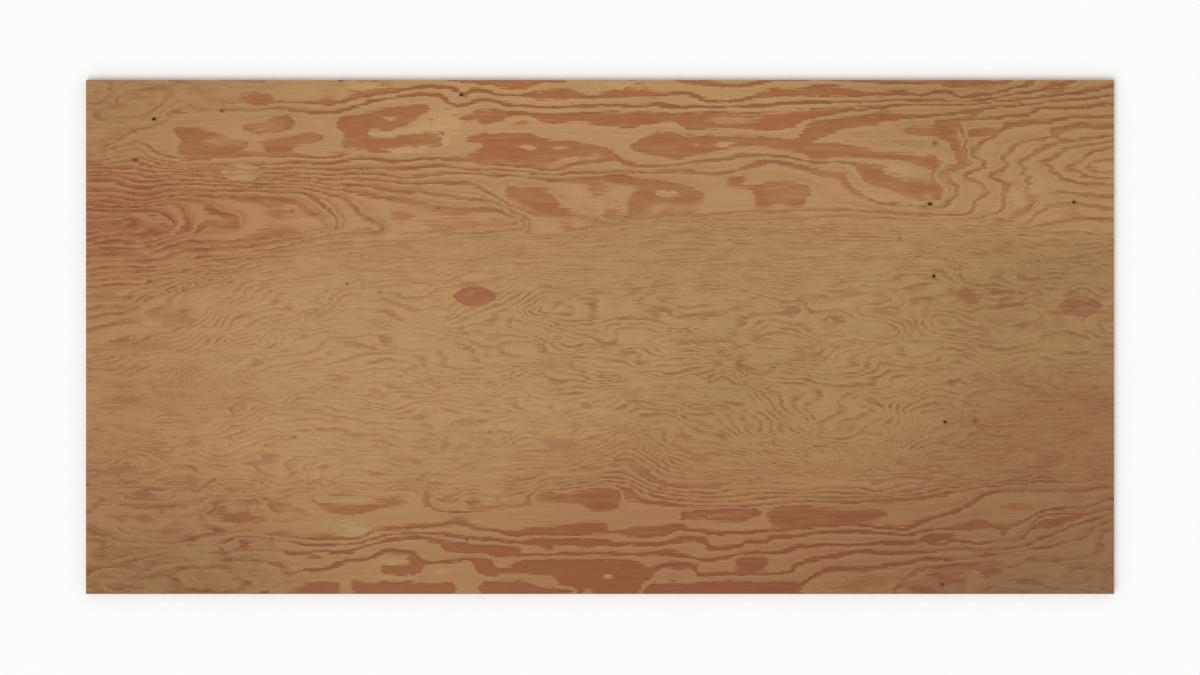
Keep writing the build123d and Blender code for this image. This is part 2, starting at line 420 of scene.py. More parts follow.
near_islands = {
    "edge_band": (-0.15, [
        (520, 529), (545, 526), (575, 524), (606, 524), (606, 533), (570, 534), (540, 535),
    ]),
    "edge_blob": (-0.15, [
        (626, 531), (640, 529), (665, 526), (682, 523), (683, 528), (664, 533), (655, 538), (635, 538),
    ]),
    "first_band": (0.85, [
        (533, 539), (550, 537), (590, 537), (606, 539), (612, 543), (600, 546), (560, 546), (540, 544),
    ]),
    "second_blob": (1.85, [
        (446, 545), (460, 544), (480, 545), (500, 544), (518, 547), (516, 554), (480, 555), (455, 554),
    ]),
    "second_end": (1.85, [
        (1036, 526), (1040, 517), (1052, 516), (1068, 515), (1090, 514), (1105, 513), (1090, 517),
        (1070, 520), (1057, 526), (1048, 529),
    ]),
    "third_band": (2.85, [
        (479, 560), (485, 559.5), (489, 564), (498, 568), (512, 566), (519, 562), (545, 560), (570, 561),
        (606, 560), (606, 573), (570, 574), (515, 573), (490, 570),
    ]),
    "third_bar": (2.85, [
        (383, 572), (386, 570), (395, 569), (404, 568), (410, 565), (412, 560), (417, 558), (420, 561),
        (418, 565), (411, 569), (397, 572.5), (386, 573),
    ]),
    "third_block": (2.85, [(739, 559), (752, 555), (766, 556), (765, 566), (755, 569), (741, 568)]),
    "third_red": (2.83, [
        (556, 572), (575, 574), (598, 572), (603, 563), (625, 560), (645, 566), (648, 575), (640, 588),
        (638, 597), (606, 597), (590, 588), (565, 586),
    ]),
    "fourth_left": (3.85, [
        (279, 590), (290, 586), (315, 583), (336, 582), (343, 588), (335, 593), (290, 594),
    ]),
    "fourth_long": (3.85, [
        (351, 576), (358, 580), (370, 582.5), (400, 581.5), (430, 583), (452, 581), (453, 592), (366, 594),
        (357, 588),
    ]),
    "fourth_bar": (3.85, [
        (479, 585), (500, 582), (525, 583), (540, 588), (575, 590), (575, 592), (545, 594), (490, 593),
    ]),
    "fourth_red": (3.85, [
        (640, 597), (641, 590), (650, 585), (667, 583), (673, 580), (683, 584), (720, 584), (727, 581),
        (742, 582), (767, 583), (792, 584), (800, 583), (797, 592), (790, 597),
    ]),
    "long_lens": (-0.18, [
        (318, 504), (335, 500), (355, 498), (411, 501), (395, 505), (350, 514), (335, 511), (322, 508),
    ]),
    "left_bar": (-0.18, [
        (208, 506), (215, 503), (224, 504), (226, 509), (245, 512), (262, 514), (268, 518), (262, 522),
        (215, 522), (211, 516), (216, 510),
    ]),
    "small_bar": (-1.2, [(462, 502), (472, 498), (483, 499), (480, 503), (468, 506)]),
    "step_bank": (-0.2, [
        (530, 500), (545, 495), (560, 495), (583, 491), (606, 488), (617, 489), (620, 500), (613, 512),
        (590, 510), (575, 503), (550, 502),
    ]),
    "eye": (-0.15, [
        (681, 516), (690, 511), (705, 509), (758, 507), (762, 511), (745, 521), (700, 519), (688, 519),
    ]),
    "long_red": (-0.22, [
        (768, 515), (778, 505), (800, 503), (825, 508), (880, 510), (892, 513), (885, 517), (860, 522),
        (830, 526), (795, 527), (775, 524),
    ]),
    "first_right": (1.85, [(916, 537.5), (928, 532.5), (940, 530.5), (951, 531), (961, 536), (945, 538)]),
    "first_blob_right": (0.85, [
        (964, 526.5), (973, 520), (984, 520), (992, 525), (1008, 527), (990, 529), (975, 529),
    ]),
}
near_clearings = {
    "left": (1.35, [(100, 545), (180, 546), (250, 546), (300, 547)]),
    "left_low": (2.4, [(100, 574), (180, 572), (250, 568), (300, 564), (345, 558)]),
    "under_first": (1.3, [(460, 546), (500, 544)]),
    "hook_inside": (3.35, [(365, 567), (375, 564), (388, 559), (402, 558), (406, 562), (388, 566)]),
    "above_third_band": (2.35, [
        (460, 557), (486, 556.5), (499, 561), (512, 559), (550, 557), (600, 557), (640, 556),
    ]),
    "below_hook": (3.35, [
        (362, 576), (380, 576), (405, 575), (424, 572), (440, 569), (458, 568), (470, 567), (478, 580),
        (465, 590),
    ]),
    "around_red": (3.3, [(652, 580), (660, 573), (690, 573), (700, 579), (740, 578), (790, 578)]),
    "under_third": (3.35, [(500, 578), (550, 580), (580, 584), (570, 592)]),
    "beyond_fork": (4.4, [(815, 590), (850, 585), (880, 577), (905, 569)]),
    "above_near_band": (-0.62, [
        (86, 520), (200, 516), (240, 508), (300, 519), (400, 518), (500, 517), (600, 514), (660, 516),
    ]),
    "under_bump": (1.4, [(900, 539), (916, 537), (962, 531), (1000, 531), (1022, 529)]),
    "beyond_edge": (0.4, [(925, 525), (940, 521), (960, 517), (1000, 509), (1040, 504), (1090, 499)]),
    "right_of_long_red": (-0.62, [(780, 499), (850, 505), (895, 508), (905, 520)]),
    "round_eye": (-0.6, [(670, 510), (672, 520), (700, 524), (750, 524), (764, 518), (765, 508)]),
}

# Tight knots and the bark round the open ones: place, half length and half width in millimetres,
# and how dark the knot is
knots = {
    "pin_far_left": ((154, 119), 5.5, 4.5, 1.0),
    "pin_far_edge": ((461.6, 94.7), 5.0, 4.0, 1.0),
    "pin_right": ((934, 276), 4.5, 4.5, 1.0),
    "pin_hooks": ((930, 204), 6.5, 4.5, 1.0),
    "pin_right_end": ((1074, 202), 5.5, 4.0, 1.0),
    "pin_near_right": ((945, 422), 4.5, 4.0, 1.0),
    "left_end": ((135, 160), 7.5, 6.0, 0.75),
    "split": ((222, 111), 5.0, 4.0, 0.75),
    "far_edge": ((341, 80), 5.5, 4.0, 0.8),
    "cross": ((347, 284), 3.5, 3.5, 0.7),
    "smudge": ((380, 292), 6.0, 3.5, 0.4),
    "fine": ((900, 238), 4.0, 3.0, 0.5),
    "round": ((935, 143), 8.0, 7.0, 0.5),
    "left_red": ((149, 281), 6.5, 5.0, 0.4),
    "near_right_red": ((975, 422), 7.0, 5.0, 0.35),
    "right_end_red": ((1061, 409), 5.0, 4.0, 0.5),
    "near_band": ((467, 540), 4.5, 3.0, 0.7),
    "near_corner": ((942, 585), 7.5, 6.0, 0.8),
    "middle": ((740, 366), 8.0, 3.5, 0.4),
    "near_middle": ((490, 432), 6.5, 3.5, 0.45),
    "near_left": ((294, 437), 6.5, 4.5, 0.4),
    "near_left_small": ((231, 410), 3.5, 4.0, 0.3),
    "left_fine": ((292, 211), 4.0, 4.0, 0.4),
    "far_middle": ((438, 208), 5.0, 4.0, 0.35),
}

# Patches of darker, redder wood, and of paler wood where the darkness is below 0, which keep to no ring:
# place, half length and half width in pixels, tilt in degrees, darkness
flecks = {
    "far_band_left": [
        (100, 142, 14, 2, 0, 0.3), (120, 97, 12, 2, 0, 0.3), (123, 106, 7, 4, 0, 0.35),
        (157, 87, 5, 3, 0, 0.35), (190, 91, 6, 5, 0, 0.3), (213, 99, 9, 2, 5, 0.5),
        (218, 142, 12, 2.2, 12, -0.8), (224, 105, 2, 6, 0, 0.55), (226, 141, 22, 6, 0, -0.45),
        (230, 100, 4, 2, -30, 0.4), (262, 130, 9, 1.8, 0, -0.8), (268, 127, 20, 5, 0, -0.4),
        (352, 151, 14, 3.5, 0, -0.6), (366, 86, 20, 6, 0, -1), (380, 133, 14, 2.5, 0, -1),
        (391, 118, 7, 2.2, 0, -0.8),
    ],
    "far_band_centre": [
        (400, 132, 26, 3, -6, -1), (408, 149.5, 28, 4, 0, -1), (414, 190, 9, 3, 0, 0.5),
        (418, 186, 3, 4, 0, 0.4), (424, 127, 18, 6, -12, -1), (437, 127, 10, 8, 0, -1),
        (446, 122, 18, 13, 0, -1), (447, 139, 6, 8, 0, -1), (520, 124, 9, 2.5, 0, 0.7),
        (527, 147, 15, 2.2, 0, -0.85), (561, 148, 8, 2.2, 0, -0.85), (575, 200, 10, 14, 0, -0.6),
        (606, 200, 12, 11, 0, -0.7), (618, 85, 24, 6, 0, -1), (670, 194.5, 14, 3.5, 5, -1),
        (697, 144, 6, 2, 0, -0.6), (726, 144, 15, 2.2, -8, -0.85), (734, 120, 30, 4.5, 0, -0.6),
        (777, 121, 10, 5, 0, 0.4), (785, 193, 25, 10, 0, -0.3), (787, 195, 7, 2, 0, -0.8),
    ],
    "far_band_right": [
        (883, 112, 14, 2.5, -5, 0.6), (890, 198, 42, 5, 15, -0.7), (900, 172, 20, 6, 12, -0.9),
        (915, 131, 18, 4, 0, 0.5), (928, 199, 11, 4, 15, -0.5), (975, 113, 10, 3.5, -20, 0.6),
        (980, 86, 32, 4, 0, 0.45), (1011, 184, 6, 4, 0, 0.35), (1020, 199, 8, 10, 0, -0.8),
        (1040, 190, 14, 8, 0, -0.8), (1059, 90, 12, 4, -8, 0.6), (1103, 166, 11, 5, 0, -0.7),
    ],
    "beyond_middle_left": [
        (104, 296, 12, 6, -20, 0.4), (115, 253, 30, 4, 0, 0.5), (122, 233, 16, 6, 0, 0.4),
        (125, 225, 32, 5, 0, 0.5), (128, 308, 14, 5, 0, 0.3), (145, 315, 8, 12, 0, -0.4),
        (176, 319, 18, 8, 0, 0.45), (182, 246, 20, 6, 0, 0.35), (207, 312, 10, 20, 0, -0.3),
        (220, 221, 20, 2, -5, 0.5), (258, 243, 14, 4, 0, 0.5), (295, 236, 20, 4, -5, 0.3),
        (303, 222, 34, 8, 0, -0.45), (315, 264, 25, 8, 0, -0.35), (364, 284, 3, 6, 30, 0.4),
    ],
    "beyond_middle_centre": [
        (401, 216, 12, 7, 0, 0.6), (437, 282, 18, 4, 0, 0.2), (455, 216, 6, 3, 0, 0.4),
        (560, 304, 9, 2, -33, 0.5), (565, 289, 9, 7, 0, 0.3), (632, 292, 12, 2, -12, 0.4),
        (657, 310, 9, 8, 0, 0.5), (660, 282, 12, 3, -10, 0.35), (700, 288, 9, 4, -10, 0.35),
        (738, 308, 11, 3, 0, 0.4), (755, 279, 14, 3, 0, 0.3), (756, 336, 6, 7, 0, 0.45),
        (768, 232, 14, 2.5, 0, 0.5),
    ],
    "beyond_middle_right": [
        (800, 300, 5, 6, 0, 0.35), (810, 243, 6, 5, 30, 0.4), (812, 298, 5, 6, 0, 0.3),
        (829, 316, 3, 6, 0, 0.3), (850, 294, 12, 4, -5, 0.4), (880, 296, 8, 8, 0, 0.25),
        (896, 312, 4, 5, 0, 0.4), (912, 325, 12, 3, 30, 0.35), (922, 251, 16, 4, 0, 0.3),
        (926, 313, 5, 7, 40, 0.35), (968, 297, 17, 8, 0, 0.75), (996, 250, 8, 3, 0, 0.35),
        (998, 321, 24, 4, 0, 0.35), (1002, 299, 20, 1.8, 0, 0.7), (1005, 292, 20, 2.5, 0, 0.8),
        (1008, 245, 9, 4, -25, 0.35), (1008, 305, 16, 2.5, 0, 0.8), (1025, 271, 30, 3, 0, 0.25),
        (1026, 298, 3, 5, 0, 0.5), (1038, 294, 6, 3, 0, 0.4), (1040, 280, 12, 4, 0, 0.3),
        (1055, 282, 6, 5, 0, 0.3), (1058, 323, 9, 6, 0, 0.35), (1060, 245, 20, 4, 10, 0.25),
        (1072, 216, 14, 9, 0, 0.35),
    ],
    "before_middle_left": [
        (113, 369, 12, 2, 0, 0.4), (120, 427, 7, 5, 0, 0.4), (122, 386, 9, 3, 0, 0.4),
        (127, 400, 21, 5, 0, 0.6), (128, 456, 8, 4, 0, 0.5), (140, 346, 46, 6, 0, 0.4),
        (143, 432, 18, 3, 0, 0.35), (150, 447, 30, 2.5, 0, 0.35), (155, 388, 8, 3, 45, 0.4),
        (156, 450, 7, 3, 0, 0.45), (164, 456, 5, 3, -30, 0.4), (171, 413, 4, 6, 20, 0.35),
        (180, 466, 13, 2, 0, 0.4), (190, 443, 11, 3, -8, 0.45), (192, 426, 10, 2.5, 25, 0.4),
        (205, 420, 7, 4, 0, 0.35), (225, 380, 9, 6, 0, 0.2), (231, 410, 4, 5, 0, 0.45),
        (240, 404, 10, 4, 0, 0.4), (258, 463, 15, 2.5, -5, 0.45), (272, 346, 8, 2.5, -25, 0.55),
        (279, 440, 5, 4, 0, 0.25), (290, 373, 12, 8, 0, -0.2), (297, 407, 11, 4, -10, 0.3),
        (323, 396, 5, 3, 0, 0.25), (334, 419, 4, 4, 0, 0.3), (342, 384, 5, 4, 0, 0.25),
        (345, 379, 7, 3, 0, 0.5), (389, 384, 10, 2.5, 10, 0.35), (394, 347, 3, 4, 30, 0.3),
        (397, 457, 9, 2, 0, 0.3),
    ],
    "before_middle_centre": [
        (411, 368, 9, 2.5, -10, 0.45), (414, 461, 10, 3, 25, 0.5), (425, 415, 8, 6, 0, 0.25),
        (436, 412, 5, 3, 0, 0.3), (446, 445, 7, 6, 0, 0.5), (463, 447, 10, 3, 0, 0.45),
        (481, 374, 15, 2, 0, 0.25), (483, 455, 18, 2, 0, 0.4), (488, 401, 8, 3, 0, 0.3),
        (490, 441, 5, 4, 0, 0.3), (500, 431, 7, 2, 0, 0.6), (510, 354, 13, 3, 12, 0.4),
        (515, 456, 12, 4, 10, 0.35), (526, 400, 5, 3, 0, 0.3), (537, 434, 6, 3, -20, 0.35),
        (548, 417, 4, 3, 0, 0.3), (552, 365, 18, 5, 0, 0.25), (552, 407, 3, 4, 0, 0.55),
        (560, 446, 20, 9, 12, 0.5), (568, 411, 16, 1.8, 0, 0.4), (570, 401, 13, 2, 0, 0.4),
        (570, 406, 12, 2.5, 0, -0.4), (572, 434, 6, 2.5, 0, 0.35), (573, 365, 4, 4, 0, 0.5),
        (587, 405, 5, 4, 0, 0.55), (636, 405, 4, 7, 0, 0.35), (637, 390, 6, 4, 0, 0.3),
        (656, 412, 4, 5, 0, 0.4), (661, 358, 5, 3, 45, 0.3), (675, 413, 5, 4, -20, 0.3),
        (675, 441, 3, 6, 25, 0.35), (686, 449, 12, 3, 20, 0.4), (700, 459, 13, 3.5, 8, 0.5),
        (712, 346, 7, 4, 0, 0.3), (712, 371, 3, 6, 0, 0.35), (717, 363, 7, 3, 0, 0.5),
        (722, 436, 5, 7, 25, 0.45), (724, 406, 5, 6, 0, 0.35), (735, 345, 5, 6, 30, 0.35),
        (737, 363, 5, 3, 0, 0.7), (747, 369, 9, 4, 0, 0.65), (749, 426, 8, 3, 40, 0.4),
        (754, 373, 9, 3, 0, 0.4), (766, 452, 6, 2.5, 30, 0.5), (770, 391, 4, 4, 0, 0.45),
        (774, 441, 2.5, 9, 0, 0.4), (783, 424, 6, 8, 0, 0.25),
    ],
    "before_middle_right": [
        (806, 347, 19, 2, 0, 0.4), (806, 456, 4, 7, 30, 0.35), (812, 356, 13, 4, 0, 0.45),
        (820, 432, 3, 10, 20, 0.35), (836, 378, 5, 2.5, 0, 0.35), (938, 348, 14, 2, 0, 0.3),
        (941, 442, 10, 3, 0, 0.5), (945, 459, 20, 3, -5, 0.45), (963, 417, 2.5, 10, 0, 0.45),
        (965, 355, 10, 2, 0, 0.4), (968, 399, 4, 9, -30, 0.35), (970, 416, 5, 2, 0, 0.5),
        (975, 421, 4, 4, 0, 0.6), (978, 375, 6, 6, 0, 0.4), (981, 427, 5, 3, 40, 0.45),
        (990, 449, 7, 2.5, 0, 0.4), (1003, 429, 14, 2, 0, 0.4), (1008, 371, 10, 3, 0, 0.35),
        (1032, 393, 8, 2, 0, 0.5), (1033, 372, 4, 5, 0, 0.35), (1050, 374, 4, 6, 0, 0.4),
        (1052, 458, 18, 8, 0, 0.4), (1056, 394, 9, 2, 0, 0.4), (1070, 437, 7, 4, 30, 0.5),
        (1083, 435, 10, 5, 0, 0.25), (1095, 389, 6, 3, 0, 0.4),
    ],
    "near_band_left": [
        (118, 471, 20, 7, 0, 0.5), (120, 519, 9, 2.5, 10, 0.5), (120, 528, 6, 1.6, 30, 0.7),
        (120, 552, 5, 4, 0, 0.35), (125, 566, 13, 4, 0, 0.55), (128, 532, 7, 1.6, 30, 0.7),
        (140, 549, 34, 1.4, 0, 0.5), (143, 519, 10, 3, 0, 0.6), (144, 494, 11, 6, 0, 0.6),
        (161, 511, 3.5, 3, 0, 0.6), (161, 557, 12, 1.5, 0, 0.6), (162, 574, 14, 5, 0, 0.55),
        (168, 531, 14, 3, 0, 0.55), (170, 558, 20, 3, 5, 0.35), (180, 588, 14, 5, 0, 0.5),
        (187, 538, 6, 3, 0, 0.5), (192, 482, 8, 7, 0, 0.5), (200, 516, 2.5, 7, -10, 0.6),
        (200, 565, 20, 7, 0, -0.3), (201, 551, 16, 11, 0, -0.5), (210, 587, 10, 5, 0, 0.35),
        (211, 482, 8, 2, -35, 0.75), (220, 507, 8, 5, 20, 0.65), (222, 497, 10, 3, 0, 0.4),
        (225, 553, 2.4, 7, -25, 0.8), (240, 517, 28, 5, 3, 0.8), (245, 492, 3, 4, 0, 0.4),
        (265, 547, 13, 3, 0, 0.3), (272, 541, 3, 8, 0, 0.5), (298, 511, 12, 3, 10, 0.45),
        (315, 557, 9, 2.5, 0, 0.8), (350, 529, 32, 10, 0, -0.5), (391, 562, 16, 4.5, 0, -1),
        (392, 577.5, 26, 3, 0, -1),
    ],
    "near_band_centre": [
        (427, 500, 4, 10, 0, 0.7), (441, 571, 12, 4.5, -15, -1), (445, 508, 9, 6, 0, -0.35),
        (447, 500, 8, 2.5, 0, 0.4), (499, 497, 3, 3, 0, 0.5), (507, 490, 4, 4, 0, 0.5),
        (512, 483, 3, 3, 0, 0.4), (545, 499, 18, 4, -5, 0.35), (557, 483, 9, 2.5, 15, 0.35),
        (608, 576, 9, 2.2, 0, -1), (668, 552, 9, 3.5, 0, 0.9), (680, 566, 18, 4, 0, 0.8),
        (684, 516, 5, 4, 0, 1), (715, 515, 20, 3, 0, -0.5), (716, 513, 26, 3.5, 0, 0.45),
        (735, 512, 14, 4, 0, 0.4), (745, 516, 10, 3, -20, 0.7), (755, 512, 6, 4, 0, 1),
    ],
    "near_band_right": [
        (865, 583, 38, 8, -6, 0.45), (892, 501, 28, 4, 0, 0.5), (915, 586, 16, 6, 0, 0.4),
        (960, 588, 6, 5, 0, 0.35), (967, 499, 6, 4, 0, 0.4), (990, 572, 15, 7, -10, 0.8),
        (1003, 528, 8, 3, 0, 0.5), (1019, 507, 17, 4, 0, 0.45), (1075, 498, 12, 7, 0, 0.3),
        (1087, 579, 6, 4, 0, 0.4),
    ],
}

# Soft changes over the face: place, then redness, lightness, how bold the lines are and how wavy, and
# how strong the finer lines between them. Lightness is partly the wood's own tone and partly painted
# shade, which darkens the face toward its corners and ends
tones = {
    "far_left": ((125, 100), 0.22, 0.915, 0.60, 0.90, 0.60),
    "far_left_islands": ((250, 135), 0.20, 0.985, 0.90, 0.05, 0.30),
    "far_middle": ((450, 112), 0.15, 1.01, 1.12, 0.05, 0.10),
    "far_right": ((720, 105), 0.15, 1.0, 1.12, 0.05, 0.10),
    "far_right_end": ((1010, 95), 0.22, 0.925, 1.0, 0.10, 0.30),
    "hooks": ((1030, 155), 0.10, 0.965, 0.80, 0.25, 0.30),
    "left_points": ((125, 215), 0.88, 0.955, 1.15, 0.30, 1.00),
    "left_points_right": ((300, 205), 0.40, 0.995, 1.05, 0.22, 0.80),
    "under_far_band": ((480, 190), 0.25, 0.995, 0.90, 0.22, 0.40),
    "rings_right": ((740, 190), 0.20, 0.98, 0.85, 0.20, 0.35),
    "fine_lines": ((720, 245), 0.05, 0.965, 0.40, 0.35, 0.50),
    "fine_lines_left": ((400, 250), 0.08, 0.99, 0.40, 0.35, 0.50),
    "left_rise": ((120, 300), 0.50, 0.945, 0.95, 0.30, 0.60),
    "left_rise_right": ((235, 312), 0.02, 1.005, 0.40, 0.80, 0.15),
    "centre_left": ((330, 335), 0.00, 1.00, 0.55, 0.90, 0.12),
    "centre": ((600, 330), 0.02, 0.975, 0.68, 0.85, 0.12),
    "centre_right": ((830, 320), 0.03, 0.955, 0.62, 1.00, 0.15),
    "right_end": ((1060, 320), 0.12, 0.90, 0.60, 0.90, 0.50),
    "left_end": ((120, 400), 0.25, 0.955, 0.50, 0.90, 0.50),
    "near_centre": ((420, 410), 0.02, 0.995, 0.52, 1.10, 0.12),
    "swirl": ((830, 415), 0.08, 0.935, 0.72, 1.00, 0.15),
    "right_low": ((1050, 440), 0.55, 0.855, 0.50, 0.80, 0.50),
    "above_near_band": ((420, 470), 0.12, 0.97, 0.45, 0.60, 0.40),
    "above_near_right": ((780, 470), 0.15, 0.94, 0.50, 0.40, 0.35),
    "round_eye": ((690, 512), 0.68, 0.93, 1.00, 0.05, 0.20),
    "near_left": ((130, 495), 0.45, 0.90, 0.75, 0.60, 0.50),
    "near_left_middle": ((265, 445), 0.05, 1.01, 0.50, 0.90, 0.30),
    "near_left_corner": ((130, 575), 0.36, 0.86, 0.85, 0.80, 0.60),
    "near_band_left": ((420, 545), 0.35, 0.935, 1.25, 0.10, 0.20),
    "near_band": ((640, 550), 0.62, 0.912, 1.25, 0.05, 0.20),
    "near_band_right": ((850, 540), 0.68, 0.868, 1.20, 0.10, 0.35),
    "near_right_lines": ((985, 522), 0.50, 0.845, 1.15, 0.12, 0.40),
    "near_right_corner": ((1060, 570), 0.50, 0.795, 0.50, 0.70, 0.50),
}
# How far a tone reaches, in pixels along the sheet and across it
TONE_REACH = (120.0, 42.0)

# How far a latewood line's middle lies before the end of its ring, in rings
LATEWOOD = 0.15
# How strongly the ring numbers are held on a line, over an island or clearing, and in the pale wood beside
LINE_PULL = 3.0
AREA_PULL = 1.0
BESIDE_PULL = 0.6
# Pixels from a line or an island to the pale wood beside it, on the side that grew first and on the side
# where the year ends, and the ring number there: so far below the line's, and so far past its ring's end
SOFT_SIDE = 3.6
SHARP_SIDE = 2.2
PALE_DROP = 0.42
PALE_RISE = 0.1
# Least and greatest distance from ring to ring, in pixels, at which a line has pale wood of its own beside
# it, how far to each side of the line that is measured, and how much nearer such wood comes inside a bend
APART = (13, 100)
SIDE_REACH = 6
BEND_SLACK = 0.3
# Shares of a ring between which an island is latewood, and has pale wood round it
ISLAND_LATE = (0.7, 0.95)
# Pixels between the marks on an island
ISLAND_STEP = 1.2


def smooth_line(points, closed=False, step=1.5):
    """Points at an even step along a smooth curve through the given ones."""
    given = np.array(points, float)
    if closed:
        ends = np.vstack([given[-1], given, given[0], given[1]])
    else:
        ends = np.vstack([2 * given[0] - given[1], given, 2 * given[-1] - given[-2]])
    runs = []
    for before, start, end, after in zip(ends, ends[1:], ends[2:], ends[3:]):
        span = np.hypot(*(end - start))
        share = np.linspace(0, 1, max(2, int(span / step) + 1), endpoint=False)[:, None]
        leave = (end - before) / 2
        arrive = (after - start) / 2
        leave *= min(1, span / np.hypot(*leave))
        arrive *= min(1, span / np.hypot(*arrive))
        square, cube = share**2, share**3
        runs.append((2 * cube - 3 * square + 1) * start + (cube - 2 * square + share) * leave
                    + (3 * square - 2 * cube) * end + (cube - square) * arrive)
    return np.vstack(runs)


def is_inside(outline, x, y):
    """Which of many points lie inside a closed outline."""
    inside = np.zeros(np.shape(x), bool)
    for (start_x, start_y), (end_x, end_y) in zip(outline, np.roll(outline, 1, axis=0)):
        if start_y != end_y:
            crossing = (end_x - start_x) * (y - start_y) / (end_y - start_y) + start_x
            inside ^= ((start_y > y) != (end_y > y)) & (x < crossing)
    return inside


def turning(loop):
    """Twice the area inside a closed outline, positive if it runs anticlockwise."""
    ahead = np.roll(loop, -1, axis=0)
    return np.sum(loop[:, 0] * ahead[:, 1] - ahead[:, 0] * loop[:, 1])


def grown(loop, distance):
    """Closed outline moved outwards by a distance."""
    ahead = np.roll(loop, -1, axis=0) - np.roll(loop, 1, axis=0)
    outward = np.column_stack([ahead[:, 1], -ahead[:, 0]]) / np.hypot(*ahead.T)[:, None]
    return loop + np.sign(turning(loop)) * distance * outward


def leftward(points):
    """Unit vectors square to a line, at each of its points."""
    ahead = np.gradient(points, axis=0)
    return np.column_stack([ahead[:, 1], -ahead[:, 0]]) / np.hypot(*ahead.T)[:, None]


def clear_of(points, others, distance):
    """The points that are no nearer than a distance to the others."""
    gap = np.array([np.hypot(*(others - point).T).min() for point in points])
    return points[gap >= distance]


def cell_round(x, y, rows, columns):
    """Row and column of the grid's cell round a place in pixels, and how far down and across it this is."""
    across = np.clip((x - LEFT_PIXEL) / (RIGHT_PIXEL - LEFT_PIXEL), 0, 1) * (columns - 1)
    down = np.clip((y - FAR_PIXEL) / (NEAR_PIXEL - FAR_PIXEL), 0, 1) * (rows - 1)
    column = np.minimum(across.astype(int), columns - 2)
    row = np.minimum(down.astype(int), rows - 2)
    return row, column, down - row, across - column


def read_grid(field, x, y):
    """Field's value at places in pixels, between the four grid points round each."""
    row, column, down, across = cell_round(x, y, *field.shape)
    far = field[row, column] * (1 - across) + field[row, column + 1] * across
    near = field[row + 1, column] * (1 - across) + field[row + 1, column + 1] * across
    return far * (1 - down) + near * down


def pale_sides(points, ring, rough, on_lines):
    """Points and ring number of the pale wood close to each side of a line, where rings lie far apart."""
    square = leftward(points)
    ahead = read_grid(rough, *(points + SIDE_REACH * square).T)
    rise = ahead - read_grid(rough, *(points - SIDE_REACH * square).T)
    least, most = 2 * SIDE_REACH / APART[1], 2 * SIDE_REACH / APART[0]
    wide = (np.abs(rise) < most) & (np.abs(rise) > least)
    square = square[wide] * np.sign(rise[wide])[:, None]
    soft = clear_of(points[wide] - SOFT_SIDE * square, on_lines, SOFT_SIDE - BEND_SLACK)
    sharp = clear_of(points[wide] + SHARP_SIDE * square, on_lines, SHARP_SIDE - BEND_SLACK)
    return [(soft, ring - PALE_DROP), (sharp, ring + LATEWOOD + PALE_RISE)]


def marks(lines, islands, clearings, first, rough=None):
    """The ring number wanted at points along each line and over each island: rows of x, y, ring, weight."""
    outlines = [(first + ring, smooth_line(points, closed=True)) for ring, points in islands.values()]
    courses = [(first + ring - LATEWOOD, smooth_line(points)) for ring, points in lines.values()]
    on_lines = np.vstack([points for ring, points in courses])
    rows = []

    def mark(points, ring, weight, covers=outlines):
        for cover in covers:
            points = points[~is_inside(cover[1], points[:, 0], points[:, 1])]
        rows.append(np.column_stack([points, np.full(len(points), ring), np.full(len(points), weight)]))

    for ring, points in courses:
        mark(points, ring, LINE_PULL)
        if rough is not None:
            for beside, pale_ring in pale_sides(points, ring, rough, on_lines):
                mark(beside, pale_ring, BESIDE_PULL)
    for ring, points in clearings.values():
        mark(smooth_line(points), first + ring, AREA_PULL)
    for number, (ring, outline) in enumerate(outlines):
        low, high = outline.min(0), outline.max(0)
        x, y = np.meshgrid(np.arange(low[0], high[0], ISLAND_STEP), np.arange(low[1], high[1], ISLAND_STEP))
        within = is_inside(outline, x, y)
        mark(np.column_stack([x[within], y[within]]), ring, AREA_PULL, outlines[number + 1:])
        # Pale wood closes in round an island, except where a line runs into it
        if ISLAND_LATE[0] < ring % 1 < ISLAND_LATE[1]:
            mark(clear_of(grown(outline, SOFT_SIDE), on_lines, SOFT_SIDE + 1), ring - PALE_DROP, BESIDE_PULL)
    return np.vstack(rows)


def spread(field):
    """Sum of the differences from each grid point to its neighbours."""
    out = np.zeros_like(field)
    along = np.diff(field, axis=1)
    across = np.diff(field, axis=0)
    out[:, :-1] += along
    out[:, 1:] -= along
    out[:-1] += across
    out[1:] -= across
    return out


def ring_field(wanted, start, rounds=300, stiffness=0.35):
    """Smooth surface that comes near the wanted ring numbers: a stiff sheet that each mark pulls to its own
    height, brought to rest by conjugate gradients."""
    rows, columns = start.shape
    low, high = (LEFT_PIXEL, FAR_PIXEL), (RIGHT_PIXEL, NEAR_PIXEL)
    on_sheet = ((wanted[:, :2] >= low) & (wanted[:, :2] <= high)).all(1)
    x, y, ring, weight = wanted[on_sheet].T
    row, column, down, across = cell_round(x, y, rows, columns)
    corner = row * columns + column
    near = np.stack([corner, corner + 1, corner + columns, corner + columns + 1])
    share = np.stack([(1 - across) * (1 - down), across * (1 - down), (1 - across) * down, across * down])

    def gather(values):
        return np.bincount(near.ravel(), (share * values).ravel(), rows * columns)

    def pull(field):
        bend = spread(field.reshape(rows, columns))
        return gather((field[near] * share).sum(0) * weight) - bend.ravel() + stiffness * spread(bend).ravel()

    field = start.ravel().copy()
    rest = gather(ring * weight) - pull(field)
    step = rest.copy()
    size = rest @ rest
    for turn in range(rounds):
        pulled = pull(step)
        length = size / (step @ pulled)
        field += length * step
        rest -= length * pulled
        smaller = rest @ rest
        step = rest + smaller / size * step
        size = smaller
    return field.reshape(rows, columns)


# Grid that the ring numbers are worked out on, each grid point about 2.4 pixels from the next
FIELD_ROWS = 216
FIELD_COLUMNS = 432


